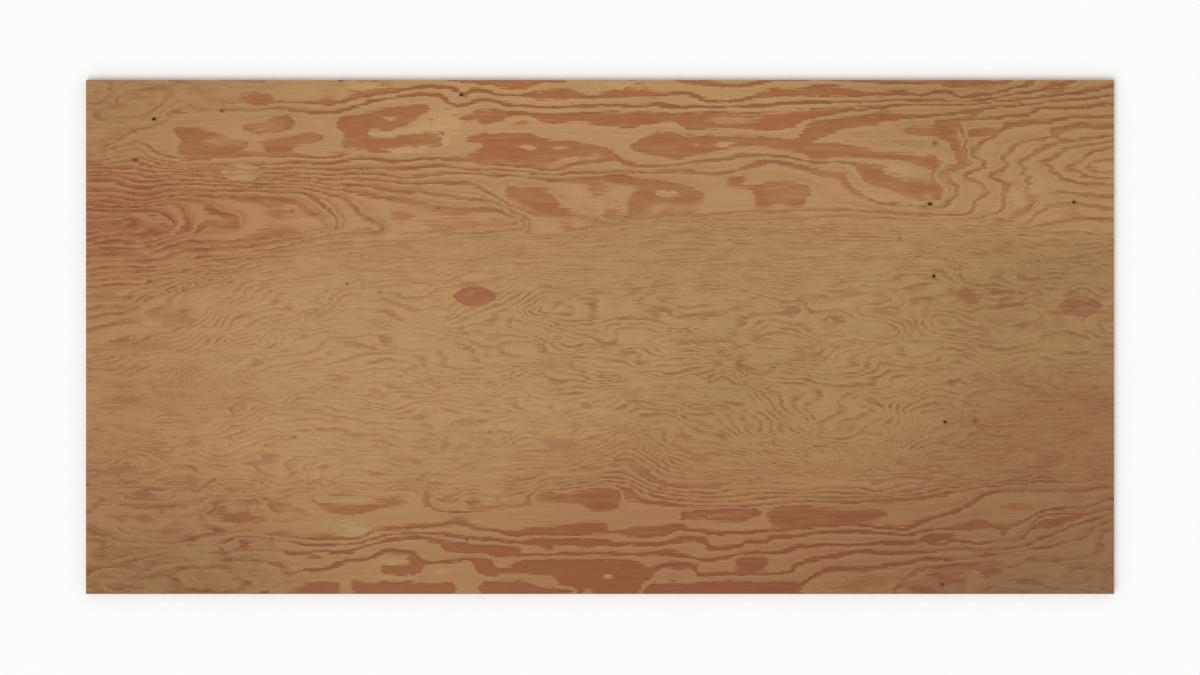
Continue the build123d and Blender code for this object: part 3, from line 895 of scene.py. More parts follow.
def lay_out_figure():
    """Ring number over the whole face, solved on coarse grids first."""
    bands = [(far_lines, far_islands, far_clearings, 0), (middle_lines, middle_islands, middle_clearings, 0),
             (near_lines, near_islands, near_clearings, NEAR_START)]
    field = np.zeros((2, 2))
    rough = None
    for coarseness in (8, 4, 2, 1):
        if coarseness in (8, 2):
            wanted = np.vstack([marks(*band, rough) for band in bands])
        x, y = np.meshgrid(np.linspace(LEFT_PIXEL, RIGHT_PIXEL, FIELD_COLUMNS // coarseness + 1),
                           np.linspace(FAR_PIXEL, NEAR_PIXEL, FIELD_ROWS // coarseness + 1))
        field = ring_field(wanted, read_grid(field, x, y))
        rough = field
    return field


field = lay_out_figure()

# Where the lattice of the random waves starts, in cells
LATTICE_START = (37.3, 11.7)
# Random waves: the seed of each, and how far apart its swells are in pixels, along the sheet and across it
WAVES = {
    "calm_rings_along": (1, 26, 9),
    "wild_rings_along": (2, 18, 8),
    "calm_rings_across": (3, 34, 8),
    "wild_rings_across": (4, 17, 8),
    "long_swells": (5, 80, 20),
    "middling_swells": (6, 28, 11),
    "short_swells": (7, 13, 7),
    "fleck_rims_along": (8, 9, 4),
    "fleck_rims_across": (9, 7, 4),
    "zigzag": (10, 40, 14),
}
# Middle and reach, in pixels along the sheet and across it, of the zigzags round the hooks at the right end,
# how far apart they are and how far they swing
ZIGZAG_PLACE = (1040, 165)
ZIGZAG_REACH = (95, 48)
ZIGZAG_STEP = 12
ZIGZAG_SWING = 3.0
# Rings to the pixel from which a calm figure's waves show, and how many more it takes until they are full
CLOSE_FROM = 0.05
CLOSE_OVER = 0.08
# Waviness from which a figure's waves show all over, how much more it takes until they are full, and the
# share of them that any figure has
WILD_FROM = 0.3
WILD_OVER = 0.4
LEAST_WAVES = 0.02


def wander(wave, x, y):
    """Smooth random wave of about unit size at places in pixels: random heights on a lattice, each place
    taking the weighted sum of the 16 round it."""
    seed, cell_x, cell_y = WAVES[wave]
    along = x / cell_x + LATTICE_START[0]
    down = y / cell_y + LATTICE_START[1]
    column = np.floor(along).astype(int)
    row = np.floor(down).astype(int)
    heights = np.random.default_rng(seed).normal(size=(row.max() + 4, column.max() + 4))

    def weights(share):
        square, cube = share**2, share**3
        return [(1 - share) ** 3 / 6, (3 * cube - 6 * square + 4) / 6,
                (3 * share * (1 + share - square) + 1) / 6, cube / 6]

    total = 0
    for step_down, weight_down in enumerate(weights(down - row)):
        for step_along, weight_along in enumerate(weights(along - column)):
            total = total + heights[row + step_down, column + step_along] * weight_along * weight_down
    return 1.6 * total


def tone_at(x, y):
    """Redness, lightness with its painted shade, boldness, waviness and fineness at places in pixels,
    from the tones round about.
    """
    # A little above 0, so that a place far from every tone can be divided too
    total = 1e-9
    blend = np.zeros((5,) + np.shape(x))
    for (tone_x, tone_y), *values in tones.values():
        weight = np.exp(-(((x - tone_x) / TONE_REACH[0]) ** 2) - ((y - tone_y) / TONE_REACH[1]) ** 2)
        total = total + weight
        blend += weight * np.array(values).reshape((5,) + (1,) * np.ndim(x))
    return blend / total


def flecks_at(x, y):
    """Rows of way from the middle of the nearest fleck, 1 at its rim, its darkness, and 0, for each place."""
    # Rims stray by a pixel or so, and 3 is farther than any fleck shows
    x = x + 1.5 * wander("fleck_rims_along", x, y)
    y = y + 0.7 * wander("fleck_rims_across", x, y)
    nearest = np.full(np.shape(x), 3.0)
    darkness = np.zeros(np.shape(x))
    for group in flecks.values():
        for middle_x, middle_y, half_length, half_width, tilt, dark in group:
            way_x = x - middle_x
            way_y = y - middle_y
            turn = np.radians(tilt)
            along = (way_x * np.cos(turn) + way_y * np.sin(turn)) / half_length
            across = (way_y * np.cos(turn) - way_x * np.sin(turn)) / half_width
            way = np.hypot(along, across)
            darkness = np.where(way < nearest, dark, darkness)
            nearest = np.minimum(way, nearest)
    return np.column_stack([nearest, darkness, np.zeros(len(nearest))])


def knots_at(x, y):
    """Way from the nearest knot's middle, in half lengths and half widths, and how dark that knot is."""
    nearest = np.full(x.shape, np.inf)
    offsets = np.zeros(x.shape + (3,))
    for (knot_x, knot_y), half_length, half_width, dark in knots.values():
        way_x = (x - knot_x) * PIXEL / (half_length * MM)
        way_y = (y - knot_y) * PIXEL / (half_width * MM)
        distance = np.hypot(x - knot_x, y - knot_y)
        closer = distance < nearest
        nearest = np.where(closer, distance, nearest)
        offsets[closer] = np.column_stack([way_x[closer], way_y[closer], np.full(closer.sum(), dark)])
    return offsets


def rings_at(x, y):
    """Ring number at places in pixels, with the small waves that real rings have."""
    # Where the figure is calm, waves show only where the rings lie close, and not over an island, where one
    # ring lies wide. Where it is wild, they show all over. The rise is in rings to the pixel.
    rise = np.hypot(read_grid(field, x + 3, y) - read_grid(field, x - 3, y),
                    read_grid(field, x, y + 3) - read_grid(field, x, y - 3)) / 6
    wavy = tone_at(x, y)[3]
    least = np.clip((wavy - WILD_FROM) / WILD_OVER, LEAST_WAVES, 1)
    wavy = wavy * np.clip((rise - CLOSE_FROM) / CLOSE_OVER, least, 1)
    # Toward the right end, round the hooks, the rings run in sharp zigzags
    zigzag = np.exp(-(((x - ZIGZAG_PLACE[0]) / ZIGZAG_REACH[0]) ** 2)
                    - ((y - ZIGZAG_PLACE[1]) / ZIGZAG_REACH[1]) ** 2)
    swing = (y + 5 * wander("zigzag", x, y)) / ZIGZAG_STEP
    # Calm and wild waves move the rings by pixels, and swells add to the ring number
    moved_x = x + 2.4 * wander("calm_rings_along", x, y) + 4 * wavy * wander("wild_rings_along", x, y)
    moved_x = moved_x + ZIGZAG_SWING * zigzag * (4 * np.abs(swing % 1 - 0.5) - 1)
    moved_y = y + wander("calm_rings_across", x, y) + (0.4 + 1.8 * wavy) * wander("wild_rings_across", x, y)
    rings = read_grid(field, moved_x, moved_y)
    swells = 1.3 * wander("long_swells", x, y) + 0.9 * wander("middling_swells", x, y)
    return rings + wavy * (swells + 0.25 * wander("short_swells", x, y))


def slope_at(x, y):
    """Rings in one pixel's distance, across the rings, and about a sixth more where the figure is wavy."""
    # The places moved to the right reach one column farther, so the short swells have other heights there
    # than in the places moved to the left. The latewood's width and strength were matched with this.
    return np.hypot(rings_at(x + 1, y) - rings_at(x - 1, y), rings_at(x, y + 1) - rings_at(x, y - 1)) / 2


# Camera and light
def new_object(name, data):
    """Object of that name in the scene, at the origin."""
    thing = bpy.data.objects.new(name, data)
    bpy.context.scene.collection.objects.link(thing)
    return thing


# Height over the sheet, and the sensor's width in millimetres
CAMERA_HEIGHT = 9.0
SENSOR_WIDTH = 36.0

lens = bpy.data.cameras.new("camera")
lens.sensor_width = SENSOR_WIDTH
lens.lens = SENSOR_WIDTH * CAMERA_HEIGHT / (PHOTO_WIDTH * PIXEL)
lens.clip_end = 100.0
camera = new_object("camera", lens)
camera.location = (0, 0, HIGH[2] + CAMERA_HEIGHT)
# The sheet's middle is half a pixel above the middle of the frame
camera.location.y = -(PHOTO_HEIGHT / 2 - MIDDLE_PIXEL[1]) * PIXEL
bpy.context.scene.camera = camera

# A wide weak sun from the near left, whose soft shadow falls beyond the far and the right edge
sun = bpy.data.lights.new("softbox", "SUN")
sun.energy = 1.50
sun.angle = 0.9
lamp = new_object("softbox", sun)
lamp.rotation_euler = (0.42, -0.30, 0)

scene = bpy.context.scene
scene.view_settings.view_transform = "Standard"


def linear(colour):
    """sRGB hex colour as linear red, green, blue and alpha."""
    parts = [int(colour[start:start + 2], 16) / 255 for start in (1, 3, 5)]
    return [part / 12.92 if part <= 0.04045 else ((part + 0.055) / 1.055) ** 2.4 for part in parts] + [1.0]


def add(tree, kind, values=(), **settings):
    """Adds a shader node with its settings. Numbers, colours, nodes or outputs of nodes fill its inputs, in
    their order or by name."""
    node = tree.nodes.new("ShaderNode" + kind)
    for name, value in settings.items():
        setattr(node, name, value)
    for name, value in values.items() if isinstance(values, dict) else enumerate(values):
        if isinstance(name, str):
            name = [(socket.name, socket.enabled) for socket in node.inputs].index((name, True))
        if isinstance(value, bpy.types.Node):
            value = next(output for output in value.outputs if output.enabled)
        if isinstance(value, bpy.types.NodeSocket):
            tree.links.new(value, node.inputs[name])
        else:
            node.inputs[name].default_value = linear(value) if isinstance(value, str) else value
    return node


def new_material(name):
    """Empty material of that name, and its node tree."""
    material = bpy.data.materials.new(name)
    material.use_nodes = True
    material.node_tree.nodes.clear()
    return material, material.node_tree


# Surroundings: white to the camera and in reflections, and an even, weaker light on everything
world = bpy.data.worlds.new("white_room")
world.use_nodes = True
scene.world = world
room = world.node_tree
room.nodes.clear()
path = add(room, "LightPath").outputs
seen = add(room, "Math", (path["Is Camera Ray"], path["Is Transmission Ray"]), operation="MAXIMUM")
seen = add(room, "Math", (seen, path["Is Glossy Ray"]), operation="MAXIMUM")
soft = add(room, "Background", {"Color": "#FFFFFF", "Strength": 0.56})
white = add(room, "Background", {"Color": "#FFFFFF", "Strength": 1.0})
add(room, "OutputWorld", {"Surface": add(room, "MixShader", (seen, soft, white))})


def painted_floor():
    """Matt white painted floor, which takes the sheet's soft shadow."""
    material, tree = new_material("matt_white_floor_paint")
    paint = add(tree, "BsdfDiffuse", {"Color": "#FFFFFF", "Roughness": 0.0})
    add(tree, "OutputMaterial", {"Surface": paint})
    return material


FLOOR_REACH = 30.0
floor_corners = [(x * FLOOR_REACH, y * FLOOR_REACH, LOW[2]) for x, y in ((-1, -1), (1, -1), (1, 1), (-1, 1))]
floor_mesh = bpy.data.meshes.new("floor")
floor_mesh.from_pydata(floor_corners, [], [(0, 1, 2, 3)])
floor_mesh.materials.append(painted_floor())
floor = new_object("floor", floor_mesh)


# Face veneer's mesh: cells along and across the sheet, about 6.2 by 5.3 mm each
COLUMNS = 392
ROWS = 228
# Width of the strip round each opening over which the glue's colour fades
GLUE_HALO = 1.6 * MM


def top_loops(node):
    """Closed outlines round the top face of a CAD node, the sheet's own edge first."""
    copy = bmesh.new()
    copy.from_mesh(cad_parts[node].data)
    bmesh.ops.remove_doubles(copy, verts=copy.verts, dist=0.001 * MM)
    copy.normal_update()
    # Edges where the top meets a wall
    rim = [edge for edge in copy.edges if sum(face.normal.z > 0.9 for face in edge.link_faces) == 1]
    rim = [edge for edge in rim if min(corner.co.z for corner in edge.verts) > FACE_HIGH[2] - 0.01 * MM]
    loops = []
    while rim:
        edge = rim.pop()
        first, corner = edge.verts
        loop = [first]
        while corner is not first:
            loop.append(corner)
            edge = next(choice for choice in corner.link_edges if choice in rim)
            rim.remove(edge)
            corner = edge.other_vert(corner)
        loops.append(np.array([corner.co[:2] for corner in loop]))
    copy.free()
    return sorted(loops, key=lambda loop: -np.ptp(loop[:, 0]))


# Kind of triangulation that keeps inside the given edges, and the distance at which two points are one
INSIDE_EDGES = 1
SAME_POINT = 1e-7


def triangles(points, loops):
    """Triangles over points that keep each loop of point numbers as edges, facing up."""
    edges = [pair for loop in loops for pair in zip(loop, np.roll(loop, -1))]
    places = [tuple(point) for point in points]
    result = delaunay_2d_cdt(places, edges, [], INSIDE_EDGES, SAME_POINT)
    flat = np.array([tuple(corner) for corner in result[0]])
    faces = np.array(result[2])
    source = np.array([numbers[0] for numbers in result[3]])
    first, second, third = (flat[faces[:, corner]] for corner in range(3))
    ahead, side = second - first, third - first
    clockwise = ahead[:, 0] * side[:, 1] - ahead[:, 1] * side[:, 0] < 0
    faces[clockwise] = faces[clockwise][:, ::-1]
    return source[faces]


def without_holes(points, faces, holes):
    """The triangles whose middle lies in none of the holes."""
    middle = points[faces].mean(1)
    open_faces = np.any([is_inside(hole, middle[:, 0], middle[:, 1]) for hole in holes], axis=0)
    return faces[~open_faces]


def round_block(block):
    """Point numbers round the border of a block of the grid, anticlockwise."""
    return np.concatenate([block[0], block[1:, -1], block[-1, -2::-1], block[-2:0:-1, 0]])


def cells_round(hole, columns, rows):
    """The grid's cells that a hole and its surroundings take up, as rows and as columns."""
    cell = (columns[1] - columns[0], rows[1] - rows[0])
    low = hole.min(0) - cell
    high = hole.max(0) + cell
    return (slice(np.searchsorted(rows, low[1]) - 1, np.searchsorted(rows, high[1])),
            slice(np.searchsorted(columns, low[0]) - 1, np.searchsorted(columns, high[0])))


def faces_round(hole, halo, grid, block, count):
    """Triangles between a block of the grid and the hole in it. The hole's points are numbered from count,
    and its halo's after them."""
    border = round_block(block)
    inner = block[1:-1, 1:-1].ravel()
    # Grid points keep out of the halo, and about half a cell away from it
    spots = grid[inner]
    clear = ~is_inside(halo, spots[:, 0], spots[:, 1])
    reach = 0.45 * (FACE_HIGH[1] - FACE_LOW[1]) / ROWS
    for spot in halo:
        clear &= np.hypot(*(spots - spot).T) > reach
    inner = inner[clear]
    used = np.concatenate([border, inner, count + np.arange(2 * len(hole))])
    points = np.vstack([grid[border], grid[inner], hole, halo])
    rim = len(border) + len(inner) + np.arange(len(hole))
    loops = [np.arange(len(border)), rim, rim + len(hole)]
    return used[without_holes(points, triangles(points, loops), [hole])]


def underside_and_walls(points, loops, holes):
    """Faces that close a flat sheet below and at its loops. Lower corners are numbered after the points."""
    under = np.concatenate(loops)
    place = {corner: index for index, corner in enumerate(under)}
    below = len(points) + np.arange(len(under))
    faces = triangles(points[under], [[place[corner] for corner in loop] for loop in loops])
    underside = below[without_holes(points[under], faces, holes)][:, ::-1]
    walls = [(start, below[place[start]], below[place[end]], end)
             for loop in loops for start, end in zip(loop, np.roll(loop, -1))]
    return underside, np.array(walls)


def face_mesh():
    """The good face as a mesh: a fine grid that keeps every cut-out and dropped knot of the CAD veneer.

    With it come 1 at the openings' rims and 0 elsewhere, and how many faces the grid, the triangles round the
    openings, the underside and the walls have."""
    holes = top_loops("face_veneer")[1:]
    columns = np.linspace(FACE_LOW[0], FACE_HIGH[0], COLUMNS + 1)
    rows = np.linspace(FACE_LOW[1], FACE_HIGH[1], ROWS + 1)
    x, y = np.meshgrid(columns, rows)
    grid = np.column_stack([x.ravel(), y.ravel()])
    number = np.arange(x.size).reshape(x.shape)
    whole = np.ones((ROWS, COLUMNS), bool)
    points = grid
    glue = np.zeros(x.size)
    blocks = []
    rims = []
    for hole in holes:
        down, along = cells_round(hole, columns, rows)
        whole[down, along] = False
        block = number[down.start:down.stop + 1, along.start:along.stop + 1]
        halo = grown(hole, GLUE_HALO)
        blocks.append(faces_round(hole, halo, grid, block, len(points)))
        rims.append(len(points) + np.arange(len(hole)))
        points = np.vstack([points, hole, halo])
        glue = np.concatenate([glue, np.ones(len(hole)), np.zeros(len(hole))])
    row, column = np.nonzero(whole)
    cells = np.column_stack([number[row, column], number[row, column + 1],
                             number[row + 1, column + 1], number[row + 1, column]])
    loops = [round_block(number)] + [rim if turning(points[rim]) < 0 else rim[::-1] for rim in rims]
    faces = [cells, np.vstack(blocks), *underside_and_walls(points, loops, holes)]
    under = np.concatenate(loops)
    heights = np.concatenate([np.full(len(points), FACE_HIGH[2]), np.full(len(under), FACE_LOW[2])])
    corners = np.column_stack([np.vstack([points, points[under]]), heights])
    glue = np.concatenate([glue, glue[under]])
    # Grid points inside an opening belong to no face, so they are left out
    used = np.unique(np.concatenate([group.ravel() for group in faces]))
    renumber = np.zeros(len(corners), int)
    renumber[used] = np.arange(len(used))
    mesh = bpy.data.meshes.new("sanded_face")
    polygons = [face for group in faces for face in renumber[group].tolist()]
    mesh.from_pydata(corners[used].tolist(), [], polygons)
    return mesh, glue[used], [len(group) for group in faces]


# Strips of the picture that each part of the face's mesh takes up for baking: where the strip starts and how
# far it reaches along the picture and up it, and the axis of the sheet that it follows there
STRIPS = {
    "top": ((0.005, 0.99, 0), (0.125, 0.87, 1)),
    "underside": ((0.005, 0.99, 0), (0.075, 0.04, 1)),
    "near_wall": ((0.005, 0.99, 0), (0.005, 0.01, 2)),
    "far_wall": ((0.005, 0.99, 0), (0.021, 0.01, 2)),
    "left_wall": ((0.005, 0.485, 1), (0.04, 0.01, 2)),
    "right_wall": ((0.505, 0.485, 1), (0.04, 0.01, 2)),
}


def unwrap(mesh, corners, groups):
    """Picture layout for baking: the top takes nearly all of it, and the rest of the mesh lies in strips."""
    loop_corner = np.empty(len(mesh.loops), np.int32)
    mesh.loops.foreach_get("vertex_index", loop_corner)
    sizes = np.empty(len(mesh.polygons), np.int32)
    mesh.polygons.foreach_get("loop_total", sizes)
    # 0 for the grid's cells, 1 for the triangles round the openings, 2 for the underside, 3 for the walls
    group = np.repeat(np.repeat(np.arange(4), groups), sizes)
    normals = np.empty(3 * len(mesh.polygons), np.float32)
    mesh.polygons.foreach_get("normal", normals)
    normal_x, normal_y = np.repeat(normals.reshape(-1, 3), sizes, axis=0).T[:2]
    share = (corners[loop_corner] - FACE_LOW) / (FACE_HIGH - FACE_LOW)
    along_x = (group == 3) & (np.abs(normal_y) > np.abs(normal_x))
    along_y = (group == 3) & ~along_x
    parts = {"top": group < 2, "underside": group == 2,
             "near_wall": along_x & (normal_y <= 0), "far_wall": along_x & (normal_y > 0),
             "left_wall": along_y & (normal_x <= 0), "right_wall": along_y & (normal_x > 0)}
    layout = np.empty((len(share), 2))
    for name, part in parts.items():
        for side, (start, reach, axis) in enumerate(STRIPS[name]):
            layout[part, side] = start + reach * share[part, axis]
    layer = mesh.uv_layers.new(name="OFBake")
    layer.data.foreach_set("uv", layout.astype(np.float32).ravel())


def store(mesh, name, values):
    """Keeps a number, or a row of three, at each corner point of a mesh."""
    kind, field = ("FLOAT", "value") if values.ndim == 1 else ("FLOAT_VECTOR", "vector")
    mesh.attributes.new(name, kind, "POINT").data.foreach_set(field, values.astype(np.float32).ravel())


# Lightness, painted shade included, was matched in screen values, which this power turns to light
SCREEN_POWER = 2.2
# A ring crosses the veneer's thickness at a low angle, so the sawn edges show about one more
RINGS_IN_THICKNESS = 0.9


def dress_face():
    """Mesh of the good face with its figure, tones and knots."""
    mesh, glue, groups = face_mesh()
    corners = np.empty(3 * len(mesh.vertices), np.float32)
    mesh.vertices.foreach_get("co", corners)
    corners = corners.reshape(-1, 3).astype(float)
    x, y = to_pixels(corners[:, 0], corners[:, 1])
    rings = rings_at(x, y)
    rings[corners[:, 2] < (FACE_LOW[2] + FACE_HIGH[2]) / 2] -= RINGS_IN_THICKNESS
    redness, painted_shade_and_tone, boldness, waviness, fineness = tone_at(x, y)
    # An island's latewood shows at full strength
    for ring, outline in [*far_islands.values(), *middle_islands.values(), *near_islands.values()]:
        within = is_inside(outline, x, y)
        boldness[within] = np.maximum(boldness[within], 0.95)
        waviness[within] = 0
    # Lightness is the wood's own tone together with painted shade, darker toward the corners and ends
    kept = {"ring": rings, "redness": redness, "slope": slope_at(x, y), "painted_shade_and_tone": painted_shade_and_tone**SCREEN_POWER,
            "boldness": boldness, "waviness": waviness, "fineness": fineness, "fleck": flecks_at(x, y),
            "glue_line": glue, "from_knot": knots_at(x, y)}
    for name, values in kept.items():
        store(mesh, name, values)
    unwrap(mesh, corners, groups)
    return mesh


# Materials

# The inputs of a MapRange node are, in their order, what it turns, where that starts and ends, and what it is
# turned into at the start and at the end
SMOOTH = {"interpolation_type": "SMOOTHSTEP"}
COLOUR = {"data_type": "RGBA"}

# Width of a latewood line in pixels, and the least and greatest share of its ring at which it starts
LINE_WIDTH = 5.5
LATE_START = (0.45, 0.62)
# How far a line's edge strays, in pixels
RAGGED = 1.3
# How far the sheet moved on while the trim saw's blade turned once, which is from mark to mark. A diagonal
# wave texture repeats every 2 pi / 10 of its own scale.
SAW_STEP = 13.744 * MM
WAVE_LENGTH = 2 * np.pi / 10


def along_grain(tree, length, width, depth, detail=2.0, offset=0.0, across=False):
    """Noise drawn out along the grain, which may run across the sheet: its swells' size in millimetres."""
    size = (width, length, depth) if across else (length, width, depth)
    scale = [1 / (extent * MM) for extent in size]
    place = add(tree, "TexCoord").outputs["Object"]
    stretch = add(tree, "Mapping", {"Vector": place, "Scale": scale, "Location": (offset, offset, offset)})
    return add(tree, "TexNoise", {"Vector": stretch, "Scale": 1.0, "Detail": detail, "Roughness": 0.55})


def shaded(tree, colour, *tones):
    """Colour made lighter or darker by the product of some numbers."""
    tone, *others = tones
    for other in others:
        tone = add(tree, "Math", (tone, other), operation="MULTIPLY")
    shade = add(tree, "CombineColor", (tone, tone, tone))
    return add(tree, "Mix", {"Factor": 1.0, "A": colour, "B": shade}, blend_type="MULTIPLY", **COLOUR)


def facing(tree, axis):
    """How squarely the surface faces along an axis, 0 to 1."""
    normal = add(tree, "SeparateXYZ", [add(tree, "TexCoord").outputs["Normal"]]).outputs[axis]
    return add(tree, "Math", [normal], operation="ABSOLUTE")


def saw_marks(tree):
    """Height of the marks that the trim saw left on the sheet's edges: a slanting ripple each step."""
    place = add(tree, "TexCoord").outputs["Object"]
    turned = add(tree, "Mapping", {"Vector": place, "Scale": (1 / SAW_STEP, 1 / SAW_STEP, 0.35 / SAW_STEP)})
    ripple = add(tree, "TexWave", {"Vector": turned, "Scale": WAVE_LENGTH, "Distortion": 1.5, "Detail": 2.0,
                                   "Detail Scale": 1.2}, wave_type="BANDS", bands_direction="DIAGONAL")
    upright = add(tree, "MapRange", (facing(tree, 2), 0.3, 0.7, 1.0, 0.0), **SMOOTH)
    return add(tree, "Math", (ripple.outputs["Fac"], upright), operation="MULTIPLY")


def dull_wood(tree, colour, roughness, relief, depth):
    """Bare wood: no varnish, so hardly any shine, over relief of a depth in metres."""
    bump = add(tree, "Bump", {"Height": relief, "Strength": 0.5, "Distance": depth})
    surface = add(tree, "BsdfPrincipled", {"Base Color": colour, "Roughness": roughness, "Normal": bump,
                                           "Specular IOR Level": 0.15})
    add(tree, "OutputMaterial", {"Surface": surface})


def latewood(tree, rings, start, full):
    """Share of latewood at a ring number: soft on the side that grew first, sharp where the year ends."""
    share = add(tree, "Math", [rings], operation="FRACT")
    grown_in = add(tree, "MapRange", (share, start, full), **SMOOTH)
    lasting = add(tree, "MapRange", (share, 0.95, 1.0, 1.0, 0.0), **SMOOTH)
    return add(tree, "Math", (grown_in, lasting), operation="MULTIPLY")


def frayed_rings(tree, kept, ragged):
    """Ring number whose lines are ragged along the fibres, by swells and by streaks of 75 by 2.8 mm."""
    # The streaks move a line by up to 1.1 pixels and 0.05 rings
    stray = add(tree, "MapRange", (ragged, 0.25, 0.75, -RAGGED, RAGGED))
    rings = add(tree, "Math", (kept["slope"], stray, kept["ring"]), operation="MULTIPLY_ADD")
    stray = add(tree, "MapRange", (along_grain(tree, 75, 2.8, 75, offset=17.0), 0.25, 0.75, -1.0))
    fray = add(tree, "Math", (kept["slope"], 1.1, 0.05), operation="MULTIPLY_ADD")
    return add(tree, "Math", (fray, stray, rings), operation="MULTIPLY_ADD")


def bold_lines(tree, kept, rings):
    """Latewood of each ring. Lines far apart are as narrow as close ones, so theirs takes up less of it."""
    start = add(tree, "Math", (kept["slope"], -LINE_WIDTH, 1.0), operation="MULTIPLY_ADD")
    start = add(tree, "Math", (start, LATE_START[0]), operation="MAXIMUM")
    start = add(tree, "Math", (start, LATE_START[1]), operation="MINIMUM")
    # Latewood is full 0.20 of a ring after its start where rings lie close, and 0.16 after it elsewhere
    full = add(tree, "Math", (start, 0.735, 0.324), operation="MULTIPLY_ADD")
    return latewood(tree, rings, start, full)


def fine_lines(tree, kept, rings):
    """Finer lines between the bold ones, where growth checked for part of a year."""
    between = latewood(tree, add(tree, "Math", (rings, 2.0), operation="MULTIPLY"), 0.3, 0.8)
    steep = add(tree, "MapRange", (kept["slope"], 0.0, 0.05, 0.0, 0.75), **SMOOTH)
    between = add(tree, "Math", (between, steep), operation="MULTIPLY")
    return add(tree, "Math", (between, kept["fineness"]), operation="MULTIPLY")


def patchiness(tree, kept, mottle):
    """How strongly the latewood shows from place to place."""
    # Fine rings fade and come back along their length, over 57 by 17 mm
    patchy = add(tree, "MapRange", (along_grain(tree, 57, 17, 57, offset=5.2), 0.3, 0.7, 0.25, 1.2), **SMOOTH)
    wild = add(tree, "MapRange", (kept["waviness"], 0.0, 0.5), **SMOOTH)
    patchy = add(tree, "Mix", {"Factor": wild, "A": 1.0, "B": patchy})
    # Latewood that the knife followed for long thins out in places
    followed = add(tree, "MapRange", (kept["slope"], 0.02, 0.10, 0.3, 0.0), **SMOOTH)
    thinned = add(tree, "MapRange", (mottle, 0.35, 0.65, 1.0, -0.2), **SMOOTH)
    thinned = add(tree, "Math", (followed, thinned), operation="MULTIPLY")
    left = add(tree, "Math", (1.0, thinned), operation="SUBTRACT")
    return add(tree, "Math", (patchy, left), operation="MULTIPLY")


def fleck_shares(tree, ragged):
    """How much of a dark fleck there is, and how much of a pale one. Flecks end raggedly along the fibres."""
    fleck = add(tree, "Attribute", attribute_name="fleck").outputs["Vector"]
    way, darkness = add(tree, "SeparateXYZ", [fleck]).outputs[:2]
    stray = add(tree, "MapRange", (ragged, 0.25, 0.75, -0.45, 0.45), **SMOOTH)
    way = add(tree, "Math", (way, stray))
    marked = add(tree, "MapRange", (way, 0.6, 1.15, 1.0, 0.0), **SMOOTH)
    paleness = add(tree, "Math", (darkness, -1.0), operation="MULTIPLY")
    amounts = [add(tree, "Math", (amount, 0.0), operation="MAXIMUM") for amount in (darkness, paleness)]
    return [add(tree, "Math", (amount, marked), operation="MULTIPLY") for amount in amounts]


def face_colour(tree, kept, weight, pale, mottle):
    """Colour of the face for a share of latewood and of a pale fleck."""
    early = add(tree, "Mix", {"Factor": kept["redness"], "A": "#B68F60", "B": "#B07852"}, **COLOUR)
    bleached = add(tree, "Math", (pale, 0.5), operation="MULTIPLY")
    early = add(tree, "Mix", {"Factor": bleached, "A": early, "B": "#C09A68"}, **COLOUR)
    # Latewood cut nearly flat shows wide and orange, and cut steeply a narrow dark line
    flat_cut = add(tree, "MapRange", (kept["slope"], 0.02, 0.10, 0.75, 0.0), **SMOOTH)
    uneven = add(tree, "MapRange", (mottle, 0.3, 0.7, -0.25, 0.25), **SMOOTH)
    flat_cut = add(tree, "Math", (flat_cut, uneven))
    flat_cut = add(tree, "Math", (flat_cut, 0.0), operation="MAXIMUM")
    late = add(tree, "Mix", {"Factor": flat_cut, "A": "#8E5F38", "B": "#A5683C"}, **COLOUR)
    late = add(tree, "Mix", {"Factor": kept["redness"], "A": late, "B": "#965233"}, **COLOUR)
    return add(tree, "Mix", {"Factor": weight, "A": early, "B": late}, **COLOUR)


def with_knots(tree, wood, ragged):
    """Wood's colour with the knots in it: a dark heart, and a browner ring of bark and resin round it."""
    from_knot = add(tree, "Attribute", attribute_name="from_knot").outputs["Vector"]
    way_along, way_across, dark = add(tree, "SeparateXYZ", [from_knot]).outputs
    flat = add(tree, "CombineXYZ", (way_along, way_across, 0.0))
    distance = add(tree, "VectorMath", [flat], operation="LENGTH").outputs["Value"]
    stray = add(tree, "MapRange", (ragged, 0.3, 0.7, -0.25, 0.25), **SMOOTH)
    distance = add(tree, "Math", (distance, stray))
    halo = add(tree, "MapRange", (distance, 0.9, 2.0, 0.55, 0.0), **SMOOTH)
    halo = add(tree, "Math", (halo, dark), operation="MULTIPLY")
    heart = add(tree, "MapRange", (distance, 0.5, 1.0, 1.0, 0.0), **SMOOTH)
    heart = add(tree, "Math", (heart, dark), operation="MULTIPLY")
    wood = add(tree, "Mix", {"Factor": halo, "A": wood, "B": "#83522F"}, **COLOUR)
    # A hole is nearly black, and a tight knot red-brown
    hole = add(tree, "MapRange", (dark, 0.8, 1.0), **SMOOTH)
    heart_colour = add(tree, "Mix", {"Factor": hole, "A": "#5A2C17", "B": "#2E1A0C"}, **COLOUR)
    return add(tree, "Mix", {"Factor": heart, "A": wood, "B": heart_colour}, **COLOUR)


